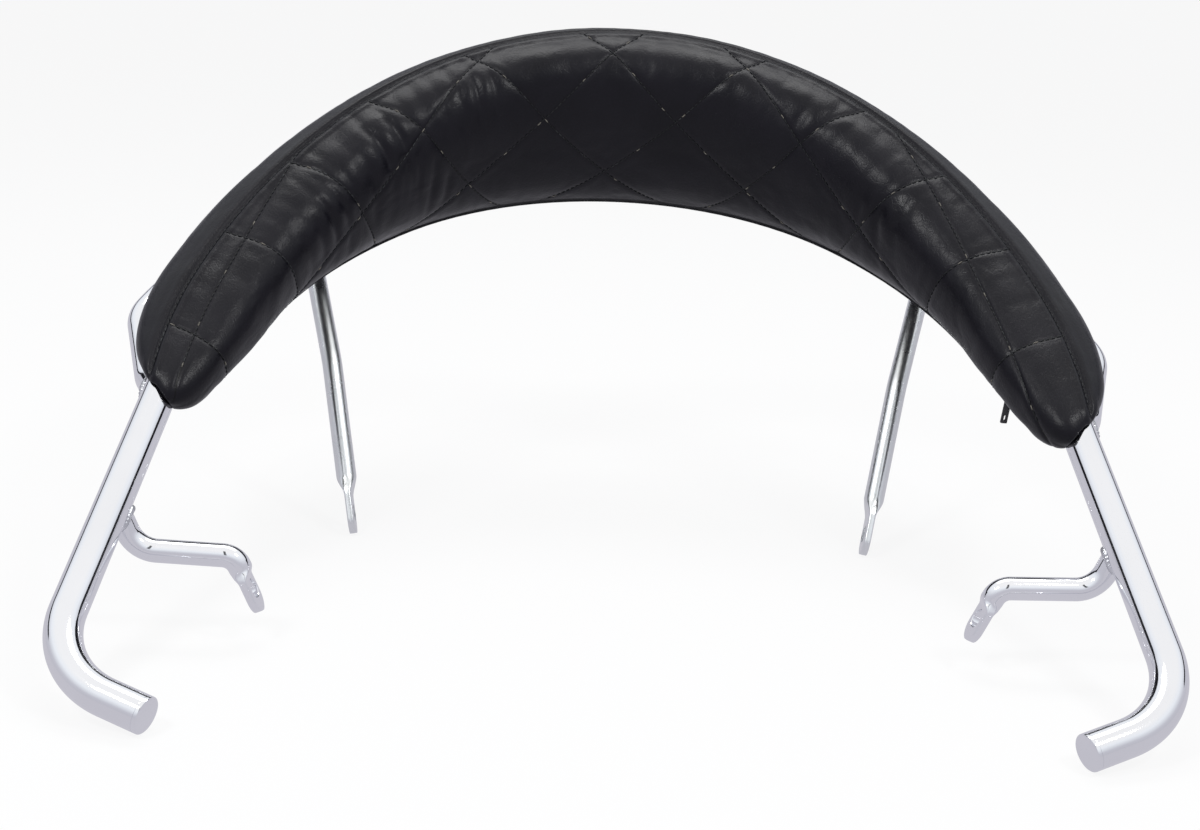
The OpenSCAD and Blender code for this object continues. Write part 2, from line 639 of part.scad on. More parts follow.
// Pull: hangs from the arch by a round pin, straight down on the table
pull_axis = around(slider_s, zip_line);
pull_pivot = zip_point(slider_s, 0, -zip_depth) + outward(slider_s, zip_line) * pivot_z;
pull_down = unit([0, 0, -1] - pull_axis * -pull_axis[2]);
module zip_pull() color([0.15, 0.15, 0.16]) pose(pull_pivot, pull_down, pull_axis) {
    window = arch_width + 0.8;
    eye = 4.6;
    rotate([90, 0, 0]) cylinder(d = pin_d, h = pull_width, center = true);
    difference() {
        translate([pull_length / 2, 0, -pull_thickness / 2])
            plate(pull_length, pull_width, pull_thickness, 0.5);
        translate([0, -window / 2, -pull_thickness]) cube([eye, window, 2 * pull_thickness]);
        translate([pull_length - 3.4, 0, -pull_thickness]) plate(3, 1.6, 2 * pull_thickness, 0.7);
    }
}

// Weld beads
function saddle(r, dir, along) = let (c = abs(dir * along)) (r + tube_r * c) / sqrt(1 - c * c);
module hoop_weld(side) color([0.72, 0.73, 0.76]) mirrored(side) {
    dir = unit(hoop_bend - hoop_joint);
    difference() {
        collar(hoop_joint, dir, saddle(rail_r, dir, arm_dir));
        rod(hoop_joint - dir * 2, hoop_bend + dir * 10, tube_r + weld_gap + 0.1);
        arm_space();
    }
}
module left_hoop_weld() hoop_weld(-1);
module right_hoop_weld() hoop_weld(1);

module strut_weld(side) color([0.72, 0.73, 0.76]) mirrored(side) {
    dir = unit(strut_bend - strut_joint);
    difference() {
        collar(strut_joint, dir, tube_r);
        rod(strut_joint - dir * 2, strut_bend, tube_r + weld_gap + 0.1);
        hoop_space();
    }
}
module left_strut_weld() strut_weld(-1);
module right_strut_weld() strut_weld(1);

module brace_weld(side) color([0.72, 0.73, 0.76]) mirrored(side) {
    dir = unit(brace_bend - brace_joint);
    difference() {
        collar(brace_joint, dir, saddle(rail_r, dir, arm_dir));
        rod(brace_joint - dir * 2, brace_bend, tube_r + weld_gap);
        arm_space();
    }
}
module left_brace_weld() brace_weld(-1);
module right_brace_weld() brace_weld(1);

main_rail();
left_end_cap();
right_end_cap();
rear_hoop();
left_strut();
right_strut();
left_brace();
right_brace();
left_hoop_weld();
right_hoop_weld();
left_strut_weld();
right_strut_weld();
left_brace_weld();
right_brace_weld();
foam_core();
front_cover();
back_cover();
front_zip_tape();
back_zip_tape();
front_zip_teeth();
back_zip_teeth();
left_zip_stop();
right_zip_stop();
zip_slider();
zip_pull();
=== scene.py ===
import math
import bmesh
import bpy
import numpy as np
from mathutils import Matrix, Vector


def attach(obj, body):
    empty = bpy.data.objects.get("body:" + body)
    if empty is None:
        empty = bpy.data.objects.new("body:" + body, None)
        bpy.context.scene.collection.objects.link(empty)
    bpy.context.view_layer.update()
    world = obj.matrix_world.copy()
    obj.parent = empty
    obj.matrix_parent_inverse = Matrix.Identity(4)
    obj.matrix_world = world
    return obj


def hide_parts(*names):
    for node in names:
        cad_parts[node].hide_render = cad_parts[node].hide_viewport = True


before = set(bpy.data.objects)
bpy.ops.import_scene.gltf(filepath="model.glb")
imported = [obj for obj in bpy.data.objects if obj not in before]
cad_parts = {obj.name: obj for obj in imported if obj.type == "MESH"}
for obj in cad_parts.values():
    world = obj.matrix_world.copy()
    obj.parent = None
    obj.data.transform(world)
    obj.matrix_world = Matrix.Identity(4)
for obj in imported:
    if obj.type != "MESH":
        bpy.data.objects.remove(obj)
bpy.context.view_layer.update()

print("frame loaded")

# All sizes are in millimetres and degrees, as in the part's source
mm = 0.001
rail = {
    "radius": 9.525, "rearRadius": 230, "rearAngle": 44.6, "flankRadius": 327, "flankAngle": 39.6,
    "armLength": 165, "armSplay": 5.8, "tipRadius": 50, "tipAngle": 72, "tipLength": 20.5,
    "tilt": 30.5, "y": 179.66, "z": 257.964,
}
tube = {"radius": 6.35}


# Small helpers
def unit(v):
    v = np.asarray(v, float)
    return v / np.linalg.norm(v, axis=-1, keepdims=True)


def sinD(a):
    return np.sin(np.radians(a))


def cosD(a):
    return np.cos(np.radians(a))


# From the rail's own plane (across, back, out of it) to the table's frame
def lift(p):
    p = np.asarray(p, float)
    x, y, z = p[..., 0], p[..., 1], p[..., 2]
    t = rail["tilt"]
    return np.stack([x, rail["y"] + y * cosD(t) - z * sinD(t),
                     rail["z"] + y * sinD(t) + z * cosD(t)], -1)


# A mesh object at the origin from points in millimetres and faces by index
def newPiece(name, points, faces, material, smooth=35):
    mesh = bpy.data.meshes.new(name)
    mesh.from_pydata((np.asarray(points) * mm).tolist(), [], [list(f) for f in faces])
    mesh.validate()
    obj = bpy.data.objects.new(name, mesh)
    bpy.context.scene.collection.objects.link(obj)
    mesh.materials.append(material)
    smoothOut(obj, smooth)
    return obj


# Smooth shading, with edges sharper than the angle kept crisp, or none for 0
def smoothOut(obj, angle):
    mesh = obj.data
    mesh.polygons.foreach_set("use_smooth", np.ones(len(mesh.polygons), bool))
    mesh.update()
    if angle:
        bpy.ops.object.select_all(action="DESELECT")
        obj.select_set(True)
        bpy.context.view_layer.objects.active = obj
        bpy.ops.object.shade_smooth_by_angle(angle=math.radians(angle))


# Quads over a grid of rows by columns, closed around each row
def ringFaces(rows, cols):
    i, j = np.meshgrid(np.arange(rows - 1), np.arange(cols), indexing="ij")
    k = (j + 1) % cols
    return np.stack([i * cols + j, i * cols + k, (i + 1) * cols + k, (i + 1) * cols + j],
                    -1).reshape(-1, 4)


# Rings joined into a closed skin, with a fan at each end
def skinRings(name, rings, material, smooth=35):
    rows, cols = rings.shape[:2]
    points = np.concatenate([rings.reshape(-1, 3), rings[0].mean(0)[None], rings[-1].mean(0)[None]])
    j = np.arange(cols)
    k = (j + 1) % cols
    first = np.stack([np.full(cols, rows * cols), k, j], -1)
    last = np.stack([np.full(cols, rows * cols + 1), (rows - 1) * cols + j, (rows - 1) * cols + k], -1)
    faces = ringFaces(rows, cols).tolist() + first.tolist() + last.tolist()
    return fixNormals(newPiece(name, points, faces, material, smooth))


# One piece from many copies of a small shape of quads
def manyOf(name, copies, faces, material):
    base = np.arange(len(copies))[:, None, None] * copies.shape[1]
    return fixNormals(newPiece(name, copies.reshape(-1, 3), (faces[None] + base).reshape(-1, 4),
                               material, 0))


# Turns every face outward
def fixNormals(obj):
    work = bmesh.new()
    work.from_mesh(obj.data)
    bmesh.ops.recalc_face_normals(work, faces=work.faces)
    work.to_mesh(obj.data)
    work.free()
    return obj


# A profile carried along a path: each ring is a superellipse with half
# sizes a (along the reference direction, made square to the path) and b
def sweep(path, up, a, b, power=2.0, sides=64):
    path = np.asarray(path, float)
    n = len(path)
    t = unit(np.gradient(path, axis=0))
    up = np.asarray(up, float)
    one = unit(up - t * (t @ up)[:, None])
    two = np.cross(t, one)
    angle = np.linspace(0, 360, sides, endpoint=False)
    e = 2 / np.broadcast_to(power, n)[:, None]
    c, s = cosD(angle)[None], sinD(angle)[None]
    ca = np.sign(c) * np.abs(c) ** e * np.broadcast_to(a, n)[:, None]
    sa = np.sign(s) * np.abs(s) ** e * np.broadcast_to(b, n)[:, None]
    return path[:, None] + one[:, None] * ca[..., None] + two[:, None] * sa[..., None]


# A turned shape: circles of the given radii at distances along a line
def lathe(centre, way, distance, radius, sides=96):
    one = unit(np.cross(way, [0.31, 0.52, 0.8]))
    two = np.cross(way, one)
    a = np.linspace(0, 360, sides, endpoint=False)[None, :, None]
    return centre + way * np.asarray(distance)[:, None, None] + (
        cosD(a) * one + sinD(a) * two) * np.asarray(radius)[:, None, None]


# Straight stretches and right-hand bends in one plane, walked from a start
def runPath(run, start, heading, step=1.5):
    points, p, h = [], np.array(start, float), heading
    for radius, much in run:
        if radius == 0:
            k = np.linspace(0, much, max(2, int(much / step)))[:, None]
            seg = p + k * np.array([cosD(h), sinD(h)])
            end = h
        else:
            a = np.linspace(0, much, max(3, int(math.radians(much) * radius / step)))
            centre = p + radius * np.array([sinD(h), -cosD(h)])
            seg = centre + radius * np.stack([-sinD(h - a), cosD(h - a)], -1)
            end = h - much
        points.append(seg if not points else seg[1:])
        p, h = seg[-1], end
    return np.concatenate(points)


# A line of corners, each rounded with its own radius
def bentPath(corners, radii, step=1.2):
    corners = np.asarray(corners, float)
    out = [corners[0][None]]
    for k in range(1, len(corners) - 1):
        u, w = unit(corners[k] - corners[k - 1]), unit(corners[k + 1] - corners[k])
        turn = math.acos(np.clip(u @ w, -1, 1))
        t = radii[k - 1] * math.tan(turn / 2)
        inward = unit(w - u * (u @ w))
        a = np.linspace(0, turn, max(4, int(turn * radii[k - 1] / step)))[:, None]
        arc = corners[k] - u * t + radii[k - 1] * (np.sin(a) * u + (1 - np.cos(a)) * inward)
        out += [between(out[-1][-1], arc[0], step), arc]
    out.append(between(out[-1][-1], corners[-1], step))
    path = np.concatenate(out)
    keep = np.r_[True, np.linalg.norm(np.diff(path, axis=0), axis=1) > 1e-4]
    return path[keep]


# Even points on the straight line from a to b
def between(a, b, step):
    n = max(2, int(np.linalg.norm(b - a) / step))
    return a + (b - a) * np.linspace(0, 1, n)[:, None]


# The right-hand side's points as they are, or mirrored for side -1
def flipped(p, side):
    return np.asarray(p, float) * [side, 1, 1]


# Shader graphs
class Wire:  # a shader socket that works in Python sums
    def __init__(self, graph, socket):
        self.graph = graph
        self.socket = socket

    def maths(self, kind, *values):
        return self.graph.maths(kind, *values)

    def __add__(self, other):
        return self.maths("ADD", self, other)

    def __sub__(self, other):
        return self.maths("SUBTRACT", self, other)

    def __mul__(self, other):
        return self.maths("MULTIPLY", self, other)

    def over(self, edge):
        return self.maths("GREATER_THAN", self, edge)

    def under(self, edge):
        return self.maths("LESS_THAN", self, edge)

    def size(self):
        return self.maths("ABSOLUTE", self)

    __radd__ = __add__


class Graph:  # the nodes of one material or of the world
    def __init__(self, owner):
        owner.use_nodes = True
        self.owner = owner
        self.tree = owner.node_tree

    def node(self, kind, settings=None, inputs=None, out=0):
        made = self.tree.nodes.new("ShaderNode" + kind)
        for key, value in (settings or {}).items():
            if key == "stops":
                ramp = made.color_ramp
                while len(ramp.elements) < len(value):
                    ramp.elements.new(0.5)
                for spot, (place, colour) in zip(ramp.elements, value):
                    spot.position = place
                    spot.color = (*colour, 1) if isinstance(colour, tuple) else (colour,) * 3 + (1,)
            else:
                setattr(made, key, value)
        for key, value in (inputs or {}).items():
            self.feed(made.inputs[key], value)
        return Wire(self, made.outputs[out])

    def maths(self, kind, *values):
        return self.node("Math", {"operation": kind}, dict(enumerate(values)))

    def feed(self, socket, value):
        if isinstance(value, Wire):
            self.tree.links.new(value.socket, socket)
        elif isinstance(value, tuple) and socket.type == "RGBA":
            socket.default_value = (*value, 1)
        else:
            socket.default_value = value

    def mix(self, factor, a, b):
        return self.node("Mix", {"data_type": "RGBA"}, {0: factor, 6: a, 7: b}, out=2)

    def place(self, stretch=(1, 1, 1), turn=(0, 0, 0)):
        spot = self.node("TexCoord", out=3)
        return self.node("Mapping", {}, {0: spot, 2: turn, 3: stretch})

    def noise(self, scale, detail=2.0, rough=0.5, place=None, twist=0.0):
        return self.node("TexNoise", {}, {"Vector": place or self.place(), "Scale": scale,
                                          "Detail": detail, "Roughness": rough,
                                          "Distortion": twist})

    def cells(self, scale, place=None, feature="F1"):
        return self.node("TexVoronoi", {"feature": feature},
                         {"Vector": place or self.place(), "Scale": scale})

    def ramp(self, value, *stops):
        return self.node("ValToRGB", {"stops": stops}, {0: value})

    def bump(self, height, strength, distance, under=None):
        values = {"Strength": strength, "Distance": distance, "Height": height}
        if under:
            values["Normal"] = under
        return self.node("Bump", {}, values)

    def surface(self, **values):
        shader = self.tree.nodes["Principled BSDF"]
        for key, value in values.items():
            self.feed(shader.inputs[key.replace("_", " ")], value)
        return self.owner


def newGraph(name):
    return Graph(bpy.data.materials.new(name))


chromeLook = {"colour": (0.88, 0.885, 0.91), "dull": (0.74, 0.745, 0.77), "rough": 0.03}


# Bright plating: faint orange peel, fine wiping marks and a few pits
def makeChrome():
    g = newGraph("brightChrome")
    cloud = g.noise(16, 3)
    wiped = g.noise(90, 4, 0.6, g.place((1, 0.25, 1)))
    pits = g.ramp(g.cells(260), (0.0, 1.0), (0.055, 0.0))
    some = g.ramp(g.noise(34, 2), (0.52, 0.0), (0.66, 1.0))
    pitted = g.node("Math", {"operation": "MULTIPLY"}, {0: pits, 1: some})
    peel = g.noise(230, 2, 0.5)
    height = peel * 0.3 - pitted * 0.5 + g.noise(45, 1) * 0.4
    tone = g.mix(g.ramp(cloud, (0.35, 0.0), (0.75, 1.0)) * 0.35, chromeLook["colour"],
                 chromeLook["dull"])
    return g.surface(Base_Color=g.mix(pitted * 0.5, tone, (0.42, 0.42, 0.45)), Metallic=1.0,
                     Roughness=chromeLook["rough"] + wiped * 0.05 + cloud * 0.02 + pitted * 0.25,
                     Normal=g.bump(height, 0.07, 0.0006))


# Thinner plating on the struts: a milky bloom over blurred streaks
def makeDullChrome():
    g = newGraph("softChrome")
    cloud = g.noise(28, 4, 0.6)
    streak = g.noise(120, 3, 0.5, g.place((1, 1, 0.08)))
    bloom = g.ramp(cloud, (0.3, 0.0), (0.72, 1.0))
    tone = g.mix(bloom * 0.6, (0.83, 0.845, 0.85), (0.7, 0.72, 0.72))
    return g.surface(Base_Color=tone, Metallic=1.0,
                     Roughness=0.17 + bloom * 0.12 + streak * 0.06,
                     Normal=g.bump(streak * 0.6 + g.noise(300, 2) * 0.4, 0.1, 0.0006))


# Plating over a weld: grainy, with soot in the hollows
def makeWeld():
    g = newGraph("platedWeld")
    grain = g.noise(420, 4, 0.65)
    soot = g.ramp(g.noise(160, 3), (0.4, 0.0), (0.62, 1.0))
    tone = g.mix(soot * 0.55, (0.72, 0.73, 0.76), (0.3, 0.3, 0.32))
    return g.surface(Base_Color=tone, Metallic=1.0, Roughness=0.16 + grain * 0.22,
                     Normal=g.bump(grain, 0.5, 0.0012))


# The "seam" colour is painted shade: near-black for the shaded hollow of each quilting groove
leather = {"dark": (0.003, 0.0028, 0.0052), "light": (0.0062, 0.0056, 0.0096),
           "seam": (0.0008, 0.0008, 0.001), "rough": 0.27, "shine": 0.2}


# Soft black leather: pebbled grain, fine creases, a worn, uneven gloss and painted shade along the
# quilting lines
def makeLeather(name, roughness):
    g = newGraph(name)
    here = g.place()
    pebble = g.cells(760, here, "SMOOTH_F1")
    fine = g.noise(1500, 3, 0.6, here)
    crease = g.node("TexVoronoi", {"feature": "DISTANCE_TO_EDGE"},
                    {"Vector": g.node("Mapping", {}, {0: g.node("TexCoord", out=3),
                                                      3: (1.0, 0.55, 0.8)}), "Scale": 260})
    line = g.ramp(crease, (0.0, 0.0), (0.07, 1.0))
    cloud = g.noise(24, 4, 0.55, here)
    rub = g.ramp(cloud, (0.35, 0.0), (0.7, 1.0))
    near = g.maths("MINIMUM", *(g.maths("PINGPONG", g.node(
        "Attribute", {"attribute_name": name}, out=2), 0.5) for name in ("lineUp", "lineDown")))
    # Painted shade: the leather turns to the seam colour along each quilting line, where the groove
    # lies in shade
    seam = g.ramp(near * 10, (0.035, 1.0), (0.1, 0.0))
    pull = g.ramp(near * 10, (0.0, 0.0), (0.22, 1.0))
    height = pebble * 0.45 + fine * 0.2 + line * 0.22 + pull * 1.6
    tone = g.mix(rub * 0.7, leather["dark"], leather["light"])
    tone = g.mix(g.ramp(fine, (0.3, 0.0), (0.8, 1.0)) * 0.25, tone, leather["light"])
    tone = g.mix(seam * 0.85, tone, leather["seam"])
    return g.surface(Base_Color=tone, Roughness=roughness + rub * 0.1 + fine * 0.06,
                     Specular_IOR_Level=leather["shine"],
                     Normal=g.bump(height, 0.22, 0.0007))


# Bonded thread: two twisted strands with a little wax shine
def makeThread():
    g = newGraph("blackThread")
    strand = g.noise(2600, 2, 0.5, g.place((1, 1, 1), (0.6, 0.4, 0.5)))
    tone = g.mix(g.ramp(g.noise(60, 3), (0.55, 0.0), (0.72, 1.0)) * 0.8,
                 (0.006, 0.007, 0.009), (0.045, 0.048, 0.052))
    return g.surface(Base_Color=tone, Roughness=0.5 + strand * 0.15, Specular_IOR_Level=0.3,
                     Normal=g.bump(strand, 0.4, 0.0003))


# The same thread where its dye has rubbed off
def makePaleThread():
    g = newGraph("wornThread")
    fuzz = g.noise(1800, 3)
    return g.surface(Base_Color=g.mix(fuzz, (0.05, 0.048, 0.042), (0.24, 0.22, 0.19)), Roughness=0.8,
                     Normal=g.bump(fuzz, 0.4, 0.0003))


# Zip tape: a plain weave of fine black yarn
def makeTape():
    g = newGraph("wovenTape")
    warp = g.node("TexWave", {"bands_direction": "X"}, {"Vector": g.place(), "Scale": 420.0})
    weft = g.node("TexWave", {"bands_direction": "Z"}, {"Vector": g.place(), "Scale": 420.0})
    weave = warp * 0.5 + weft * 0.5
    tone = g.mix(weave, (0.006, 0.006, 0.008), (0.022, 0.022, 0.027))
    return g.surface(Base_Color=tone, Roughness=0.75 + g.noise(200, 2) * 0.15,
                     Normal=g.bump(weave, 0.5, 0.0003))


# Moulded nylon teeth, scuffed here and there
def makeNylon():
    g = newGraph("zipNylon")
    rub = g.noise(500, 3)
    return g.surface(Base_Color=g.mix(rub, (0.008, 0.008, 0.01), (0.03, 0.03, 0.034)),
                     Roughness=0.32 + rub * 0.2, Normal=g.bump(rub, 0.15, 0.0003))


# Black lacquer over zinc, rubbed to grey on the high spots
def makeLacquer():
    g = newGraph("zipLacquer")
    worn = g.ramp(g.noise(700, 4, 0.6), (0.56, 0.0), (0.7, 1.0))
    tone = g.mix(worn * 0.5, (0.012, 0.012, 0.014), (0.2, 0.2, 0.21))
    return g.surface(Base_Color=tone, Metallic=worn * 0.5, Roughness=0.34 + g.noise(300, 3) * 0.2,
                     Normal=g.bump(g.noise(900, 3), 0.2, 0.0003))


chrome = makeChrome()
dullChrome = makeDullChrome()
weldMetal = makeWeld()
frontLeather = makeLeather("quiltedLeather", leather["rough"])
threadLook = makeThread()
paleThread = makePaleThread()
tapeLook = makeTape()
nylon = makeNylon()
lacquer = makeLacquer()
print("materials made")


# Tubes
# Says which body a piece rides on and which CAD node it stands for, and hides that node; the slot is
# not used
def keep(obj, node, slot, body="backrest"):
    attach(obj, body)
    if node:
        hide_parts(*([node] if isinstance(node, str) else node))
    return obj


bothSides = ((-1, "left"), (1, "right"))
railHalf = [(rail["rearRadius"], rail["rearAngle"]), (rail["flankRadius"], rail["flankAngle"]),
            (0, rail["armLength"]), (rail["tipRadius"], rail["tipAngle"]), (0, rail["tipLength"])]
inPlane = lift([[0, 0, 1]])[0] - lift([[0, 0, 0]])[0]   # the rail plane's own normal


# Both halves of a symmetric run, from the left end to the right one
def bothHalves(half, top):
    right = runPath(half, (0, top), 0)
    left = right[::-1] * [-1, 1]
    flatRun = np.concatenate([left[:-1], right])
    return np.c_[flatRun, np.zeros(len(flatRun))]


# A disc with a turned edge: distance past the tube's end, and radius
capProfile = np.array([(-0.6, 9.35), (-0.05, 9.35), (0.1, 9.5), (0.5, 9.52), (1.5, 9.52), (1.9, 9.4),
                       (2.2, 9.1), (2.36, 8.7), (2.4, 8.2), (2.4, 6.0), (2.38, 3.0)])


# The thick tube, a circle carried along two arcs and an arm on each side
def makeRail():
    path = bothHalves(railHalf, 0)
    rings = sweep(lift(path), inPlane, rail["radius"], rail["radius"], sides=96)
    keep(skinRings("railTube", rings, chrome), "main_rail", "chrome_tube")
    for side, name in bothSides:
        tip, back = lift(path[-1]), lift(path[-2])
        d = flipped(unit(tip - back), side)
        rings = lathe(flipped(tip, side), d, capProfile[:, 0], capProfile[:, 1])
        keep(skinRings(name + "Cap", rings, chrome, 28), name + "_end_cap", "chrome_tube")


armStart = runPath(railHalf[:2], (0, 0), 0)[-1]
armDir = np.array([sinD(rail["armSplay"]), -cosD(rail["armSplay"]) * cosD(rail["tilt"]),
                   -cosD(rail["armSplay"]) * sinD(rail["tilt"])])
armOrigin = lift([armStart[0], armStart[1], 0])


hoop = {
    "radius": 300.7, "angle": 74.9, "cornerRadius": 39, "cornerAngle": 32.3, "end": 56,
    "joinRadius": 25, "foot": 19, "drop": 9.6, "top": 42, "under": 13.5, "strutAt": 45.6,
}


# The hoop lies in its own plane, turned about a line across the two arms
def hoopPlane(p):
    p = np.asarray(p, float)
    d = p[..., 1] - armStart[1]
    return lift(np.stack([p[..., 0], armStart[1] + d * cosD(hoop["drop"]),
                          -hoop["under"] - d * sinD(hoop["drop"])], -1))


hoopHalf = [(hoop["radius"], hoop["angle"]), (hoop["cornerRadius"], hoop["cornerAngle"])]
hoopJoint = armOrigin + armDir * hoop["foot"]
hoopFlat = runPath(hoopHalf + [(0, hoop["end"])], (0, hoop["top"]), 0)
hoopEnd = hoopPlane(np.r_[hoopFlat[-1], 0])


# The thin tube behind the pad: one wide arc, a corner and a bend on each side
def makeHoop():
    arc = runPath(hoopHalf, (0, hoop["top"]), 0)
    arc = hoopPlane(np.c_[arc, np.zeros(len(arc))])
    tail = bentPath([arc[-1], hoopEnd, hoopJoint + unit(hoopEnd - hoopJoint) * 6],
                    [hoop["joinRadius"]])
    right = np.concatenate([arc, tail[1:]])
    path = np.concatenate([right[:0:-1] * [-1, 1, 1], right])
    middle = hoopPlane([0, 0, 0])
    up = unit(np.cross(unit(hoopPlane([1, 0, 0]) - middle), unit(hoopPlane([0, 1, 0]) - middle)))
    keep(skinRings("hoopTube", sweep(path, up, tube["radius"], tube["radius"]), chrome),
         "rear_hoop", "chrome_tube")


flat = {"thick": 4.6, "width": 17.5, "end": 13.2, "hole": 10.3}
strut = {"hole": (165, 41, 12.862), "bend": (184, 87, 99), "radius": 60, "flatBack": 11, "squeeze": 13}
brace = {"holeX": 196, "holeZ": 29, "runZ": 47.5, "rise": 1.5, "y": 130.5, "bendX": 256, "turnX": 204,
         "radius": 17, "endRadius": 10, "flatBack": 6, "squeeze": 7}


# A tube that is pressed flat toward its rounded, drilled end. The section
# goes from a circle to a thin round-cornered strip over the squeeze.
def pressedTube(name, node, path, face, back, squeeze, material):
    hole = path[-1]
    d = unit(path[-1] - path[-2])
    r = flat["width"] / 2
    reach = np.r_[np.linspace(0.6, flat["end"] - r, 6)[:-1],
                  flat["end"] - r + r * np.sin(np.linspace(0, np.pi / 2 - 0.02, 24))]
    tip = hole + d * reach[:, None]
    path = np.concatenate([path, tip])
    far = np.r_[0, np.cumsum(np.linalg.norm(np.diff(path, axis=0), axis=1))]
    at = far - far[len(path) - len(tip) - 1]                    # zero at the hole
    q = np.clip((at + back + squeeze) / squeeze, 0, 1)
    q = q * q * (3 - 2 * q)
    a = tube["radius"] + (flat["thick"] / 2 - tube["radius"]) * q
    b = tube["radius"] + (flat["width"] / 2 - tube["radius"]) * q
    past = np.clip((at - (flat["end"] - r)) / r, 0, 1)
    b = b * np.sqrt(np.clip(1 - past ** 2, 0.0004, 1))
    power = 2 + 4 * q * np.clip(b / a - 0.6, 0, 1)
    obj = skinRings(name, sweep(path, face, a, b, power, 72), material, 40)
    cutHole(obj, hole, unit(np.asarray(face) - d * (d @ face)))
    return keep(obj, node, "chrome_tube")


# The drilled hole, with its edge broken by a small countersink
def cutHole(obj, centre, normal):
    z = np.array([-8, -flat["thick"] / 2 - 0.3, -flat["thick"] / 2 + 0.35,
                  flat["thick"] / 2 - 0.35, flat["thick"] / 2 + 0.3, 8])
    r = flat["hole"] / 2 + np.array([0.65, 0.65, 0, 0, 0.65, 0.65])
    cutter = skinRings("holeCutter", lathe(centre, normal, z, r, 64), obj.data.materials[0], 0)
    cut = obj.modifiers.new("hole", "BOOLEAN")
    cut.object = cutter
    cut.solver = "EXACT"
    applyAll(obj)
    bpy.data.objects.remove(cutter)
    smoothOut(obj, 40)


# Puts the result of a piece's modifiers into its mesh
def applyAll(obj):
    bpy.context.view_layer.update()
    done = bpy.data.meshes.new_from_object(obj.evaluated_get(bpy.context.evaluated_depsgraph_get()))
    old = obj.data
    obj.modifiers.clear()
    obj.data = done
    bpy.data.meshes.remove(old)


strutTop = hoopPlane([hoop["radius"] * sinD(hoop["strutAt"]),
                      hoop["top"] - hoop["radius"] * (1 - cosD(hoop["strutAt"])), 0])
hoopAcross = unit(hoopPlane([cosD(hoop["strutAt"]), -sinD(hoop["strutAt"]), 0])
                  - hoopPlane([0, 0, 0]))
braceTop = armOrigin + armDir * ((-brace["y"] - armOrigin[1]) / armDir[1])
braceBend = np.array([brace["bendX"], -brace["y"], brace["runZ"] + brace["rise"]])
sunk = {"strut": 4, "brace": 6}   # how far a tube starts from the middle of the one it stands on


# A strut leans from the hoop down to its flat, with one wide bend
def makeStrut(side, name):
    down = unit(np.array(strut["bend"]) - strutTop)
    path = bentPath([strutTop + down * sunk["strut"], strut["bend"], strut["hole"]], [strut["radius"]])
    pressedTube(name + "Strut", name + "_strut", flipped(path, side), [side, 0, 0],
                strut["flatBack"], strut["squeeze"], dullChrome)


# A brace turns from the arm to run inward, then down to its flat
def makeBrace(side, name):
    turn = np.array([brace["turnX"], -brace["y"], brace["runZ"]])
    hole = np.array([brace["holeX"], -brace["y"], brace["holeZ"]])
    path = bentPath([braceTop + unit(braceBend - braceTop) * sunk["brace"], braceBend, turn, hole],
                    [brace["radius"], brace["endRadius"]], 0.8)
    d = unit(hole - turn)
    face = flipped(np.array([1, 0, 0]) - d * d[0], side)
    pressedTube(name + "Brace", name + "_brace", flipped(path, side), face,
                brace["flatBack"], brace["squeeze"], chrome)


# A weld bead follows the line where a small tube meets a bigger one: for
# each angle round the small tube, the point of its wall that lies on the
# bigger tube's wall. Ripples swell and narrow the bead along that line.
def weldBead(name, node, foot, way, bigDir, bigRadius, side, bead):
    foot, way, bigDir = flipped(foot, side), flipped(unit(way), side), flipped(unit(bigDir), side)
    e1 = unit(np.cross(way, bigDir))
    e2 = np.cross(way, e1)
    a = np.linspace(0, 360, 240, endpoint=False)[:, None]
    off = tube["radius"] * (cosD(a) * e1 + sinD(a) * e2)
    flatOff = off - (off @ bigDir)[:, None] * bigDir
    flatWay = way - (way @ bigDir) * bigDir
    qa = flatWay @ flatWay
    qb = flatOff @ flatWay
    qc = (flatOff ** 2).sum(1) - bigRadius ** 2
    far = (-qb + np.sqrt(np.maximum(qb ** 2 - qa * qc, 0))) / qa
    line = foot + off + far[:, None] * way
    t = unit(np.roll(line, -1, 0) - np.roll(line, 1, 0))
    out = unit(off)
    two = np.cross(t, out)
    ripple = 1 + 0.10 * np.abs(np.sin(np.radians(a[:, 0]) * 13)) + 0.07 * np.sin(
        np.radians(a[:, 0]) * 5 + 1) + 0.05 * np.sin(np.radians(a[:, 0]) * 31)
    b = np.linspace(0, 360, 20, endpoint=False)
    rings = line[:, None] + bead * ripple[:, None, None] * (
        cosD(b)[None, :, None] * out[:, None] + sinD(b)[None, :, None] * two[:, None])
    n, m = rings.shape[:2]
    faces = ringFaces(n + 1, m) % (n * m)
    obj = newPiece(name, rings.reshape(-1, 3), faces, weldMetal, 0)
    keep(fixNormals(obj), node, "weld_bead")


def makeWelds(side, name):
    weldBead(name + "HoopBead", name + "_hoop_weld", hoopJoint, hoopEnd - hoopJoint, armDir,
             rail["radius"], side, 2.4)
    weldBead(name + "StrutBead", name + "_strut_weld", strutTop,
             np.array(strut["bend"]) - strutTop, hoopAcross, tube["radius"] + 0.15, side, 1.7)
    weldBead(name + "BraceBead", name + "_brace_weld", braceTop, braceBend - braceTop, armDir,
             rail["radius"], side, 1.9)


makeRail()
makeHoop()
for side, name in bothSides:
    makeStrut(side, name)
    makeBrace(side, name)
for side, name in bothSides:
    makeWelds(side, name)
print("tubes made")


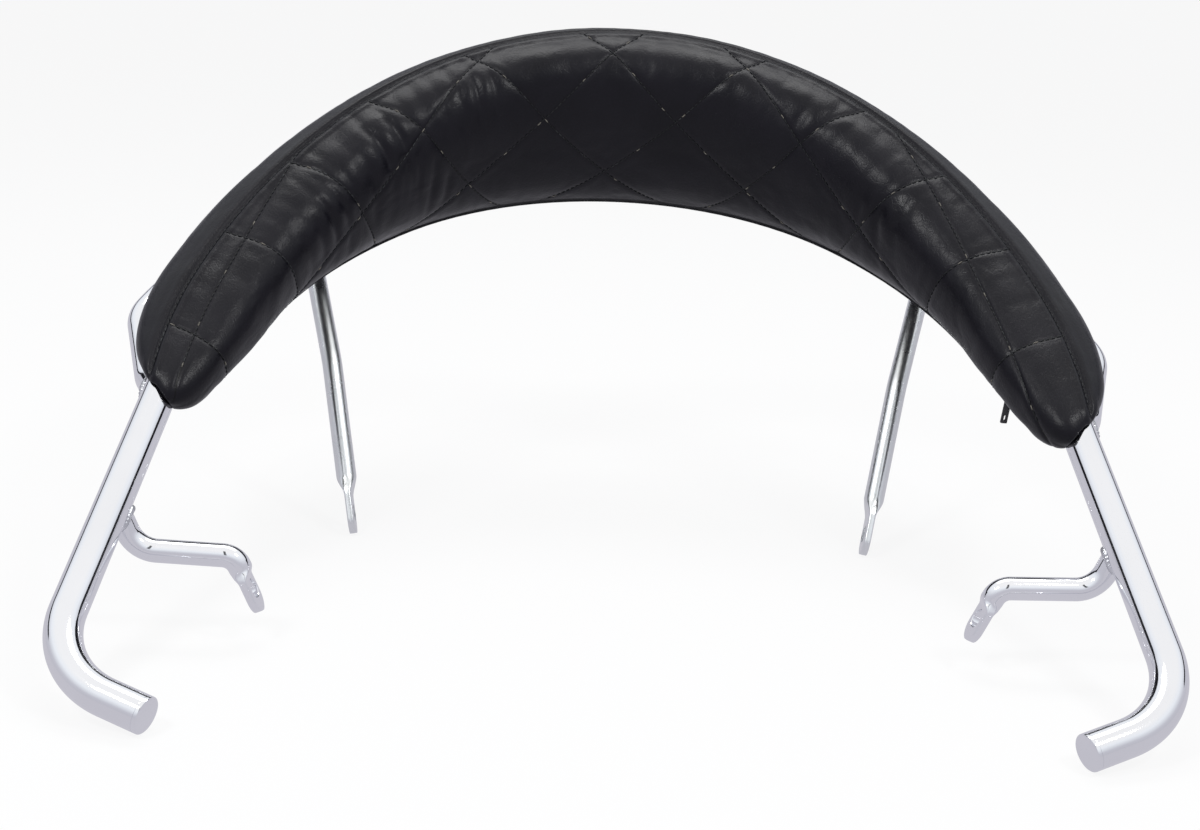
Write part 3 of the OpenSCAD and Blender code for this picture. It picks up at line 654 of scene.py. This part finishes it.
# Pad
pad = {
    "length": 796, "height": 124, "endHeight": 42, "thick": 76, "endThick": 66, "offset": 3,
    "square": 2.6, "nose": 60, "cover": 2.5, "topSeam": 80, "zipLine": 245,
    "puff": 1.5, "quiltWidth": 88, "quiltSlope": 1.02, "panelRadius": 457,
    "shiftUp": 34, "shiftDown": -11,
    "reach": 90, "longer": 15, "longerNear": 14, "nearAt": 150,
}
zipSize = {"gap": 0.35, "teethWide": 2, "teethThick": 2.2, "tapeWide": 5, "margin": 24, "depth": 0.8}
padHalf = pad["length"] / 2
rearLen = math.radians(rail["rearAngle"]) * rail["rearRadius"]
flankLen = math.radians(rail["flankAngle"]) * rail["flankRadius"]
collar = rail["radius"] + pad["cover"] + 0.5


# How full the pad is, from 1 in its middle to 0 at the very ends: an ellipse
def tuck(s):
    q = np.clip((np.abs(s) - padHalf + pad["nose"]) / pad["nose"], 0, 1)
    return np.sqrt(np.clip(1 - q * q, 0, 1))


# Half the section's height: a cosine hump along the pad, drawn in at the ends
def halfHeight(s):
    share = np.minimum(1, np.abs(s) / padHalf)
    full = pad["endHeight"] / 2 + (pad["height"] - pad["endHeight"]) / 2 * (
        (1 + np.cos(np.pi * share)) / 2) ** 0.8
    return collar + (full - collar) * tuck(s)


# Half the section's thickness: nearly even, thinner by the fourth power
def halfThick(s):
    share = np.minimum(1, np.abs(s) / padHalf)
    full = pad["endThick"] / 2 + (pad["thick"] - pad["endThick"]) / 2 * (1 - share ** 4)
    return collar + (full - collar) * tuck(s)


# The rail's middle line by length from the middle: two bends, then straight
def railAt(s):
    a = np.abs(s)
    h1 = np.degrees(a / rail["rearRadius"])
    h2 = rail["rearAngle"] + np.degrees((a - rearLen) / rail["flankRadius"])
    h3 = 90 - rail["armSplay"]
    d = a - rearLen - flankLen
    R, Q = rail["rearRadius"], rail["flankRadius"]
    one, two = a <= rearLen, a <= rearLen + flankLen
    x = np.where(one, R * sinD(h1), np.where(two, (R - Q) * sinD(rail["rearAngle"]) + Q * sinD(h2),
                                             armStart[0] + d * cosD(h3)))
    y = np.where(one, R * (cosD(h1) - 1), np.where(
        two, (R - Q) * cosD(rail["rearAngle"]) - R + Q * cosD(h2), armStart[1] - d * sinD(h3)))
    return x, y, np.where(one, h1, np.where(two, h2, h3))


# The two ends are cut on the slant: longer where the front panel closes over
# the rail, shorter behind
def slant(s, th):
    near = np.clip((np.abs(s) - padHalf + pad["reach"]) / pad["reach"], 0, 1) ** 2
    return near * (pad["longer"] + pad["longerNear"] * cosD(th - pad["nearAt"]))


# A point of the pad: a superellipse section round the rail, th being 0 at
# the rear, 90 on top and 180 on the rider's side
def padPoint(s, th, inset=0.0):
    x, y, h = railAt(s)
    e = 2 / pad["square"]
    c, k = cosD(th), sinD(th)
    outv = -pad["offset"] * tuck(s) + (halfThick(s) - inset) * np.sign(c) * np.abs(c) ** e
    upv = (halfHeight(s) - inset) * np.sign(k) * np.abs(k) ** e
    sign = np.where(s < 0, -1.0, 1.0)
    return lift(np.stack([sign * (x + outv * sinD(h)), y + outv * cosD(h), upv], -1))


# Length on the section for each degree, at the zip
def perDegree(s):
    z = pad["zipLine"]
    return np.linalg.norm(padPoint(s, z + 0.4) - padPoint(s, z - 0.4), axis=-1) / 0.8


zipHalf = padHalf - zipSize["margin"]
tapeStart = zipSize["teethWide"] + zipSize["gap"] * 1.5
coverStart = tapeStart + zipSize["tapeWide"] + zipSize["gap"]


# Half the gap in the cover along the zip, which closes past the zip's ends
def coverEdge(s):
    q = np.clip((np.abs(s) - zipHalf - 10) / 9, 0, 1)
    return coverStart * (1 - q) + zipSize["gap"] / 2 * q


# The front panel's length across, from the top seam to the zip, at each row
frontRows = np.linspace(0, padHalf, 200)
frontTurn = np.linspace(pad["topSeam"], pad["zipLine"], 160)
frontSteps = np.diff(padPoint(frontRows[:, None], frontTurn[None]), axis=1)
frontSpan = np.linalg.norm(frontSteps, axis=-1).sum(1) - coverEdge(frontRows)


def frontLength(s):
    return np.interp(np.abs(s), frontRows, frontSpan)


# The quilting is straight on the flat front panel, a ring sector, on which
# two families of lines cross. This gives a point's place on that panel.
def panelXY(s, u):
    w = frontLength(s) * u
    R = pad["panelRadius"]
    return (R - w) * np.sin(s / R), R - (R - w) * np.cos(s / R)


# The two line counts of a point: whole numbers on the quilting lines
def quiltCounts(s, u):
    x, d = panelXY(s, u)
    k = pad["quiltSlope"]
    wide = pad["quiltWidth"]
    return (x - d / k + pad["shiftUp"]) / wide, (x + d / k + pad["shiftDown"]) / wide


# Length to the nearest line, and to the nearest of each family
def lineDistance(s, u):
    a, b = quiltCounts(s, u)
    flatten = math.sqrt(1 + 1 / pad["quiltSlope"] ** 2)
    away = [np.abs(v - np.round(v)) * pad["quiltWidth"] / flatten for v in (a, b)]
    return np.minimum(*away), away


gridSize = {"along": 516, "front": 108, "zip": 12, "back": 84, "coarse": 3}


# Rows along the pad, closer together on the two noses
def rowsAlong(n):
    k = np.linspace(-1, 1, n + 1)
    flatPart = 0.83
    m = padHalf - pad["nose"]
    inner = k / flatPart * m
    outer = np.sign(k) * (m + pad["nose"] * np.sin(np.pi / 2 * np.clip(
        (np.abs(k) - flatPart) / (1 - flatPart), 0, 1)))
    return np.where(np.abs(k) <= flatPart, inner, outer)


# Angles round each row: front panel, zip channel, back panel
def anglesRound(s, front, channel, back):
    edge = (coverEdge(s) / perDegree(s))[:, None]
    top, z = pad["topSeam"], pad["zipLine"]
    v = np.arange(channel) / channel
    return np.concatenate([evenly(s, top + 0 * edge, z - edge, front), z - edge + 2 * edge * v,
                           evenly(s, z + edge, top + 360 + 0 * edge, back)], 1)


# Angles between two limits that lie at equal lengths along the section
def evenly(s, low, high, count):
    fine = np.linspace(0, 1, 241)
    th = low + (high - low) * fine
    p = padPoint(s[:, None] * np.ones_like(th), th)
    far = np.cumsum(np.linalg.norm(np.diff(p, axis=1), axis=-1), 1)
    far = np.concatenate([np.zeros((len(s), 1)), far], 1)
    far /= far[:, -1:]
    goal = np.arange(count) / count
    return np.stack([np.interp(goal, far[k], th[k]) for k in range(len(s))])


# Moves points along the rail's own direction at their row
def slid(p, s, much):
    _, _, h = railAt(s)
    way = lift(np.stack([np.sign(s) * cosD(h), -sinD(h), 0 * h], -1)) - lift([0, 0, 0])
    return p + way * much[..., None]


# Across both grid directions, of length 1
def normalsOf(p):
    along = np.gradient(p, axis=0)
    around = np.roll(p, -1, 1) - np.roll(p, 1, 1)
    n = np.cross(around, along)
    return n / np.maximum(np.linalg.norm(n, axis=-1, keepdims=True), 1e-9)


# Smooth cubic fill between coarse grid values, in one direction at a time
def fillIn(values, step, closed):
    def one(v, axis, closed):
        v = np.moveaxis(v, axis, 0)
        n = len(v)
        count = n * step if closed else (n - 1) * step + 1
        at = np.arange(count) / step
        i = np.floor(at).astype(int)
        f = (at - i).reshape(-1, *([1] * (v.ndim - 1)))
        pick = (lambda k: v[k % n]) if closed else (lambda k: v[np.clip(k, 0, n - 1)])
        a, b, c, d = pick(i - 1), pick(i), pick(i + 1), pick(i + 2)
        r = b + 0.5 * f * (c - a + f * (2 * a - 5 * b + 4 * c - d + f * (3 * (b - c) + d - a)))
        return np.moveaxis(r, 0, axis)
    return one(one(values, 0, False), 1, closed)


# Cloth on a coarse grid: the cover starts a little small, is held along the
# seams and at the ends, and is blown up by the filling
clothPlan = {"inset": 2.6, "pressure": 4.0, "grow": 0.05, "most": 6.0, "frames": 20}


def inflate(sRow, th, uGrid, isFront):
    step = gridSize["coarse"]
    s = sRow[::step]
    angle = th[::step, ::step]
    u = uGrid[::step, ::step]
    front = isFront[::step]
    start = padPoint(s[:, None], angle, clothPlan["inset"])
    n, m = start.shape[:2]
    gap, _ = lineDistance(s[:, None], u)
    held = np.where(front[None], np.clip(1 - gap / 4.0, 0, 1), 0)
    cols = np.arange(m) * step
    zipCol = (cols >= gridSize["front"] - 2) & (cols <= gridSize["front"] + gridSize["zip"] + 2)
    held[:, zipCol] = 1
    held[:, 0] = 1
    held[:2] = held[-2:] = 1
    obj = skinRings("padCloth", start, frontLeather, 0)
    group = obj.vertex_groups.new(name="held")
    weights = np.r_[held.ravel(), 1, 1]
    for level in np.unique(np.round(weights[weights > 0.02], 1)):
        some = np.flatnonzero(np.round(weights, 1) == level).tolist()
        group.add(some, float(max(level, 0.05)), "REPLACE")
    cloth = obj.modifiers.new("cloth", "CLOTH")
    cs = cloth.settings
    cs.quality = 6
    cs.mass = 0.25
    cs.use_pressure = True
    cs.uniform_pressure_force = clothPlan["pressure"]
    cs.tension_stiffness = cs.compression_stiffness = 18
    cs.shear_stiffness = 8
    cs.bending_stiffness = 0.4
    cs.effector_weights.gravity = 0
    cs.shrink_min = -clothPlan["grow"]
    cs.vertex_group_mass = "held"
    cs.pin_stiffness = 1
    cloth.collision_settings.use_collision = False
    cloth.point_cache.frame_start = 1
    cloth.point_cache.frame_end = clothPlan["frames"]
    for f in range(1, clothPlan["frames"] + 1):
        bpy.context.scene.frame_set(f)
    shape = obj.evaluated_get(bpy.context.evaluated_depsgraph_get()).data
    got = np.zeros(len(shape.vertices) * 3, np.float32)
    shape.vertices.foreach_get("co", got)
    bpy.context.scene.frame_set(1)
    bpy.data.objects.remove(obj)
    move = got.reshape(-1, 3)[:n * m].reshape(n, m, 3) / mm - start
    far = np.linalg.norm(move, axis=-1, keepdims=True)
    move *= np.minimum(1, clothPlan["most"] / np.maximum(far, 1e-9))
    print("cloth moved on average", round(float(far.mean()), 2), "mm, at most",
          round(float(far.max()), 2))
    return fillIn(move, step, True)


# Gathers: short folds that run across the pad, where the straight panel is
# bent round. Each is a row of waves under a soft patch.
gathers = [  # middle along, middle across, half length, half width, wave, height, lean
    (-250, 0.50, 30, 0.22, 15, 1.0, 12), (-200, 0.36, 34, 0.24, 16, 1.3, 14),
    (-160, 0.60, 24, 0.20, 15, 0.9, 14), (-122, 0.26, 26, 0.18, 15, 1.1, 12),
    (148, 0.30, 24, 0.20, 16, 0.9, -10), (215, 0.45, 30, 0.22, 17, 0.8, -12),
    (-20, 0.28, 46, 0.20, 20, 0.35, 0), (60, 0.34, 34, 0.20, 17, 0.35, 6),
]


def gatherRelief(s, u):
    total = np.zeros(np.broadcast(s, u).shape)
    for k, (s0, u0, ls, lu, wave, high, lean) in enumerate(gathers):
        patch = np.exp(-((s - s0) / ls) ** 2 - ((u - u0) / lu) ** 2)
        bent = s + lean * (u - u0) + 3.1 * np.sin(7 * u + k) + 2.2 * np.sin(s / 19 + 2 * k)
        crest = np.sin(2 * np.pi * bent / wave + k)
        uneven = 0.6 + 0.4 * np.sin(s / 11.3 + 5 * u + k) * np.sin(9 * u + 2 * k)
        total += high * patch * uneven * (crest - 0.4 * np.abs(crest))
    return total


# Puffs between the quilting lines, highest where both line counts are halfway
def puffs(s, u, full):
    a, b = quiltCounts(s, u)
    fade = np.minimum(1, np.minimum(6 * u, 6 * (1 - u)))
    return pad["puff"] * np.minimum(1, 3 * full) * fade * np.abs(
        np.sin(np.pi * a) * np.sin(np.pi * b)) ** 0.6


# Length round the section from the top seam, negative on the back panel
def lengthFromSeam(s, th):
    p = padPoint(s, th)
    stepRound = np.linalg.norm(np.roll(p, -1, 1) - p, axis=-1)
    far = np.cumsum(stepRound, 1) - stepRound
    whole = far[:, -1:] + stepRound[:, -1:]
    return np.where(far > whole / 2, far - whole, far)


def bell(x, width):
    return np.exp(-(x / width) ** 2)


# The top seam is a groove between two rolled edges, and each quilting line
# a shallow groove
def seamRelief(fromTop, away, isFront):
    top = 0.9 * bell(fromTop - 4.2, 2.4) + 0.45 * bell(fromTop + 4.2, 2.6) - 1.7 * bell(fromTop, 1.3)
    groove = np.clip(bell(away[0], 1.6) + bell(away[1], 1.6), 0, 1.2)
    return top - np.where(isFront & (fromTop > 2.5), 0.4 * groove, 0)


# Each end is turned in against the rail as a rolled hem: distance past the
# last row, and radius round the rail
hemProfile = [(0.5, 12.4), (0.9, 11.8), (0.9, 11.0), (0.4, 10.3), (-0.6, 9.85), (-4, 9.3), (-6, 7.0)]


def hemRings(s, th, ahead):
    here = np.array([s])
    centre = (padPoint(here, np.array([90.0])) + padPoint(here, np.array([270.0]))) / 2
    x, y, _ = railAt(np.abs(here) - 1)
    way = unit(centre[0] - lift(np.stack([np.sign(s) * x, y, [0.0]], -1))[0])
    arm = unit(padPoint(np.full(len(th), s), th) - centre)
    return np.stack([centre + way * (f + ahead[:, None]) + arm * r for f, r in hemProfile])


# The cover is one grid: rows along the rail by places round the section,
# raised along its normals by the sum of puffs, swelling, seams and folds
def makePad():
    g = gridSize
    s = rowsAlong(g["along"])
    th = anglesRound(s, g["front"], g["zip"], g["back"])
    cols = th.shape[1]
    j = np.arange(cols)
    zipFrom, zipTo = g["front"], g["front"] + g["zip"]
    isFront = j < zipFrom
    besideZip = np.minimum(np.abs(j - zipFrom), np.abs(j - zipTo))
    u = np.where(isFront, j / zipFrom, 0)[None] * np.ones((len(s), 1))
    S = s[:, None] * np.ones((1, cols))
    longer = slant(S, th)
    base = slid(padPoint(S, th, clothPlan["inset"]), S, longer)
    normal = normalsOf(slid(padPoint(S, th), S, longer))
    row, col = len(s) // 2, zipFrom // 2
    if normal[row, col] @ (base[row, col] - base[row].mean(0)) < 0:
        normal = -normal
    full = tuck(S)
    gap, away = lineDistance(S, u)
    relief = np.where(isFront, clothPlan["inset"] - pad["puff"] * 0.6 * full + puffs(S, u, full),
                      clothPlan["inset"])
    swell = np.zeros_like(base)
    swell = inflate(s, th, u, isFront)
    # Where the simulation pushed the cover out, a share of it adds to the fixed puffs
    calm = np.where(isFront, np.clip(gap / 7, 0, 1) ** 0.8, 1) * np.minimum(1, full * 1.5)
    calm = calm * np.minimum(1, j / 4) * np.minimum(1, (cols - j) / 4)
    isZip = (j >= zipFrom) & (j <= zipTo)
    calm = np.where(isZip, 0, calm * np.clip(besideZip / 6, 0, 1))
    relief = relief + np.where(isFront, 0.1, 0.05) * (swell * normal).sum(-1) * calm - 0.3 * calm
    # Seams, gathers and a slow unevenness
    live = np.clip(full * 3, 0, 1)
    relief = relief + seamRelief(lengthFromSeam(S, th), away, isFront) * live
    relief = relief + np.where(isFront, gatherRelief(S, u), 0) * np.clip(gap / 6, 0, 1) * live
    slow = 0.22 * np.sin(S / 31 + th / 23) * np.sin(th / 17 + S / 57) + 0.1 * np.sin(S / 13 - th / 29)
    relief = relief + slow * calm
    # The zip channel, just deeper than the slider's lower plate, and the hem beside it
    deep = 3.6 - clothPlan["inset"]
    closing = np.clip((coverEdge(S) - 0.4) / 2, 0, 1)
    inner = (j > zipFrom) & (j < zipTo)
    relief = np.where(inner[None], -deep * closing + clothPlan["inset"] * (1 - closing), relief)
    relief = relief + 0.25 * bell(besideZip - 2.5, 2.0) * (~inner) * live
    points = base + normal * relief[..., None]
    rings = np.concatenate([hemRings(s[0], th[0], longer[0])[::-1], points,
                            hemRings(s[-1], th[-1], longer[-1])])
    obj = skinRings("padCover", rings, frontLeather, 0)
    # The line counts go with the mesh, so that the leather can carry painted shade along the quilting
    # grooves
    offLine = 0.5
    for name, count in zip(("lineUp", "lineDown"), quiltCounts(S, u)):
        spread = np.full(rings.shape[:2], offLine)
        spread[len(hemProfile):-len(hemProfile)] = np.where(isFront, count, offLine)
        values = np.full(len(obj.data.vertices), offLine)
        values[:spread.size] = spread.ravel()
        obj.data.attributes.new(name, "FLOAT", "POINT").data.foreach_set("value", values)
    keep(obj, ("foam_core", "front_cover", "back_cover"), "quilted_leather")
    return s, points, normal


padRows, padSkin, padNormal = makePad()
print("pad made")


# A place on the finished pad by row length s and front-panel share u,
# read between grid points
def onPad(s, u, above):
    i = np.interp(s, padRows, np.arange(len(padRows)))
    j = np.asarray(u) * gridSize["front"]
    i0, j0 = np.floor(i).astype(int), np.floor(j).astype(int)
    i0 = np.clip(i0, 0, len(padRows) - 2)
    fi, fj = (i - i0)[:, None], (j - j0)[:, None]
    cols = padSkin.shape[1]

    def blendOf(grid):
        a, b = grid[i0, j0 % cols], grid[i0, (j0 + 1) % cols]
        c, d = grid[i0 + 1, j0 % cols], grid[i0 + 1, (j0 + 1) % cols]
        return (a * (1 - fj) + b * fj) * (1 - fi) + (c * (1 - fj) + d * fj) * fi
    n = unit(blendOf(padNormal))
    return blendOf(padSkin) + n * above, n


# Each quilting line, traced on the flat panel and carried to the pad
def quiltLines():
    lines = []
    R, k, w = pad["panelRadius"], pad["quiltSlope"], pad["quiltWidth"]
    for family in (1, -1):
        for number in range(-8, 9):
            start = number * w - (pad["shiftUp"] if family == 1 else pad["shiftDown"])
            d = np.linspace(-5, 430, 2600)
            x = start + family * d / k
            s = np.arctan2(x, R - d) * R
            across = R - np.hypot(x, R - d)
            u = across / frontLength(s)
            good = (u > 0.012) & (u < 0.985) & (np.abs(s) < padHalf - 7)
            if good.sum() < 30:
                continue
            lines.append((s[good], u[good]))
    return lines


# Stitches: a short waxed capsule for each, sunk at both ends, laid along a line
def stitchesAlong(lines, length, space, radius, high):
    shape, faces = capsule(10)
    every = []
    for line in lines:
        p, n = onPad(*line, high)
        far = np.r_[0, np.cumsum(np.linalg.norm(np.diff(p, axis=0), axis=1))]
        at = np.arange(space, far[-1] - space, space)
        if not len(at):
            continue
        mid, fore, out = (np.stack([np.interp(place, far, v[:, k]) for k in range(3)], -1)
                          for place, v in ((at, p), (at + 1, p), (at, n)))
        out = unit(out)
        t = unit(fore - mid)
        side = unit(np.cross(out, t))
        out = np.cross(t, side)
        q = shape[None]
        sag = -(q[..., 0:1] * 2) ** 4 * radius * 1.4
        every.append(mid[:, None] + t[:, None] * q[..., 0:1] * length + side[:, None] * q[
            ..., 1:2] * radius + out[:, None] * (q[..., 2:3] * radius + sag))
    return np.concatenate(every), faces


# A capsule from -0.5 to 0.5 along X, with radius 1 across, as plain quads
def capsule(rows):
    cols = 8
    a = np.linspace(0, np.pi, rows)
    b = np.linspace(0, 2 * np.pi, cols, endpoint=False)
    r = np.maximum(np.sin(a) ** 0.6, 0.02)
    x = -0.5 * np.cos(a)
    pts = np.stack([x[:, None] + 0 * b, r[:, None] * np.cos(b), r[:, None] * np.sin(b)], -1)
    near = np.array([[0, 3, 2, 1], [0, 5, 4, 3], [0, 7, 6, 5]])
    far = near[:, ::-1] + (rows - 1) * cols
    return pts.reshape(-1, 3), np.concatenate([ringFaces(rows, cols), near, far])


quiltThread = {"length": 3.3, "space": 3.7, "radius": 0.36, "high": 0.15}
seamThread = {"length": 3.6, "space": 4.0, "radius": 0.42, "high": 0.35}


# The lines of stitches: one in eleven of the quilting has lost its dye
def makeStitches():
    copies, faces = stitchesAlong(quiltLines(), **quiltThread)
    worn = np.arange(len(copies)) * 37 % 101 < 9
    keep(manyOf("quiltStitches", copies[~worn], faces, threadLook), None, "quilted_leather")
    keep(manyOf("wornStitches", copies[worn], faces, paleThread), None, "quilted_leather")
    s = np.linspace(-padHalf + 3, padHalf - 3, 2400)
    seam = [(s, np.full(len(s), 1.2 / 165))]
    copies, faces = stitchesAlong(seam, **seamThread)
    keep(manyOf("topStitches", copies, faces, threadLook), None, "quilted_leather")


makeStitches()
print("stitches made")


# Zip
# Points on the zip line, with the ways along it, round the section and out
def zipFrame(s):
    z = pad["zipLine"]
    p = padPoint(s, np.full_like(s, z))
    along = unit(padPoint(s + 0.5, np.full_like(s, z)) - padPoint(s - 0.5, np.full_like(s, z)))
    around = unit(padPoint(s, np.full_like(s, z + 0.4)) - padPoint(s, np.full_like(s, z - 0.4)))
    return p, along, around, unit(np.cross(around, along))


# Teeth: small blocks with a waist and a rounded crown, in turn on each side
def makeTeeth():
    pitch = 2.6
    outline = ((-0.5, 0), (0.5, 0), (0.42, 0.35), (0.6, 0.7),
               (0.45, 1), (-0.45, 1), (-0.6, 0.7), (-0.42, 0.35))
    block = np.array([[x, y, z] for z in (-1, 1) for x, y in outline])
    sides = [[k, (k + 1) % 8, (k + 1) % 8 + 8, k + 8] for k in range(8)]
    faces = np.array(sides + [[0, 7, 2, 1], [7, 6, 3, 2], [6, 5, 4, 3],
                              [8, 9, 10, 15], [15, 10, 11, 14], [14, 11, 12, 13]])
    for way, node, shift in ((-1, "front_zip_teeth", 0.0), (1, "back_zip_teeth", 0.5)):
        s = np.arange(-zipHalf + 4.5, zipHalf - 9.0, pitch) + shift * pitch
        p, along, around, out = zipFrame(s)
        wide = zipSize["teethWide"] + 0.1
        y = way * (tapeStart - block[None, :, 1:2] * wide)
        crown = 0.5 * zipSize["teethThick"] * (1 - 0.25 * block[None, :, 1:2])
        pts = p[:, None] + along[:, None] * block[None, :, 0:1] * 1.05 + around[:, None] * y + out[
            :, None] * (block[None, :, 2:3] * crown - zipSize["depth"])
        obj = manyOf("frontTeeth" if way < 0 else "backTeeth", pts, faces, nylon)
        obj.data.polygons.foreach_set("use_smooth", np.zeros(len(obj.data.polygons), bool))
        keep(obj, node, "zip_plastic")


# A copy of a CAD node with its points merged and its edges softened
def softened(node, name, slotName, material, body, width):
    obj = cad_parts[node].copy()
    obj.data = obj.data.copy()
    obj.name = name
    obj.parent = None
    bpy.context.scene.collection.objects.link(obj)
    work = bmesh.new()
    work.from_mesh(obj.data)
    bmesh.ops.remove_doubles(work, verts=work.verts, dist=1e-6)
    bmesh.ops.dissolve_limit(work, angle_limit=math.radians(2), verts=work.verts, edges=work.edges)
    work.to_mesh(obj.data)
    work.free()
    obj.data.materials.clear()
    obj.data.materials.append(material)
    edge = obj.modifiers.new("edge", "BEVEL")
    edge.width = width * mm
    edge.segments = 3
    edge.angle_limit = math.radians(35)
    applyAll(obj)
    smoothOut(obj, 35)
    for key in list(obj.keys()):
        if key.startswith("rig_"):
            del obj[key]
    return keep(obj, node, slotName, body)


makeTeeth()
for node in ("front_zip_tape", "back_zip_tape"):
    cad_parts[node].data.materials.clear()
    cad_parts[node].data.materials.append(tapeLook)
softened("zip_slider", "sliderBody", "zip_metal", lacquer, "backrest", 0.18)
softened("left_zip_stop", "leftStop", "zip_metal", lacquer, "backrest", 0.15)
softened("right_zip_stop", "rightStop", "zip_metal", lacquer, "backrest", 0.12)
softened("zip_pull", "pullTab", "zip_metal", lacquer, "pull", 0.14)
print("zip made")


# Stage, light and camera
# A pale floor: white to the camera, grey-lilac in the chrome
def makeFloor():
    g = newGraph("paleFloor")
    tree = g.tree
    seen = g.node("LightPath", out=0)
    shiny = g.node("LightPath", out=3)
    white = g.node("BsdfDiffuse", {}, {"Color": (0.84, 0.84, 0.85)})
    plain = g.node("MixShader", {}, {0: shiny, 1: white,
                                     2: g.node("Emission", {}, {"Color": (0.6, 0.59, 0.645)})})
    bright = g.node("Emission", {}, {"Color": (1.0, 1.0, 1.0), "Strength": 1.0})
    both = g.node("MixShader", {}, {0: seen * 0.88, 1: plain, 2: bright})
    tree.links.new(both.socket, tree.nodes["Material Output"].inputs[0])
    points = np.array([[-1, -1, 0], [1, -1, 0], [1, 1, 0], [-1, 1, 0]]) * 30000.0
    points[:, 2] = -0.25
    floor = newPiece("paleFloor", points, [[0, 1, 2, 3]], g.owner, 0)


# The room: white to the camera. For gloss it is white above and at floor
# height, with one narrow dark gap where the wall meets the light above.
def makeRoom():
    world = bpy.data.worlds.new("whiteRoom")
    bpy.context.scene.world = world
    g = Graph(world)
    way = g.node("TexCoord", out=0)
    x, y, z = (g.node("SeparateXYZ", {}, {0: way}, out=k) for k in range(3))
    tall = z * 0.5 + 0.5
    wall = g.ramp(tall, (0.5, (0.56, 0.555, 0.61)), (0.62, (0.6, 0.6, 0.66)),
                  (0.7, (0.74, 0.76, 0.81)), (0.8, (0.93, 0.96, 1.0)), (0.92, (1.0, 1.0, 1.0)))
    gap = z.over(0.25) * z.under(0.37) * y.over(0.2)
    slit = x.size().under(0.05) * y.under(-0.3) * z.over(0.45) * z.under(0.88)
    wall = g.mix(gap.maths("MAXIMUM", gap, slit * 0.9), wall, (0.012, 0.012, 0.016))
    shiny = g.node("LightPath", out=3)
    seen = g.node("LightPath", out=0)
    colour = g.mix(shiny, (0.5, 0.505, 0.52), wall)
    colour = g.mix(seen, colour, (1.0, 1.0, 1.0))
    back = g.tree.nodes["Background"]
    g.feed(back.inputs[0], colour)
    back.inputs[1].default_value = 1.0


lamps = [  # place, aim, width, height, watts
    ((-0.75, -0.75, 1.25), (-0.1, 0.1, 0.22), 0.3, 0.24, 6.5),
    ((0.75, -0.65, 1.3), (0.1, 0.1, 0.22), 0.3, 0.24, 5.5),
    ((0.0, 0.6, 1.7), (0, 0.1, 0.25), 1.4, 0.5, 11),
]


# Soft rectangular lamps, each turned to its aim
def makeLamps():
    for k, (place, aim, wide, high, watts) in enumerate(lamps):
        data = bpy.data.lights.new("softbox%d" % k, "AREA")
        data.shape = "RECTANGLE"
        data.size, data.size_y, data.energy = wide, high, watts
        obj = bpy.data.objects.new("softbox%d" % k, data)
        bpy.context.scene.collection.objects.link(obj)
        obj.location = place
        obj.rotation_euler = (Vector(aim) - Vector(place)).to_track_quat("-Z", "Y").to_euler()


view = {"lens": 49.5, "sensor": 36, "place": (-0.0364, -0.95241, 0.37068),
        "turn": (73.935, -2.859, -0.702)}


# The photograph's own viewpoint
def makeCamera():
    data = bpy.data.cameras.new("view")
    data.lens = view["lens"]
    data.sensor_width = view["sensor"]
    data.clip_end = 100
    obj = bpy.data.objects.new("view", data)
    bpy.context.scene.collection.objects.link(obj)
    obj.location = view["place"]
    obj.rotation_euler = tuple(math.radians(a) for a in view["turn"])
    bpy.context.scene.camera = obj


makeFloor()
makeRoom()
makeLamps()
makeCamera()
bpy.context.scene.view_settings.view_transform = "Standard"
bpy.context.view_layer.update()
print("stage made")
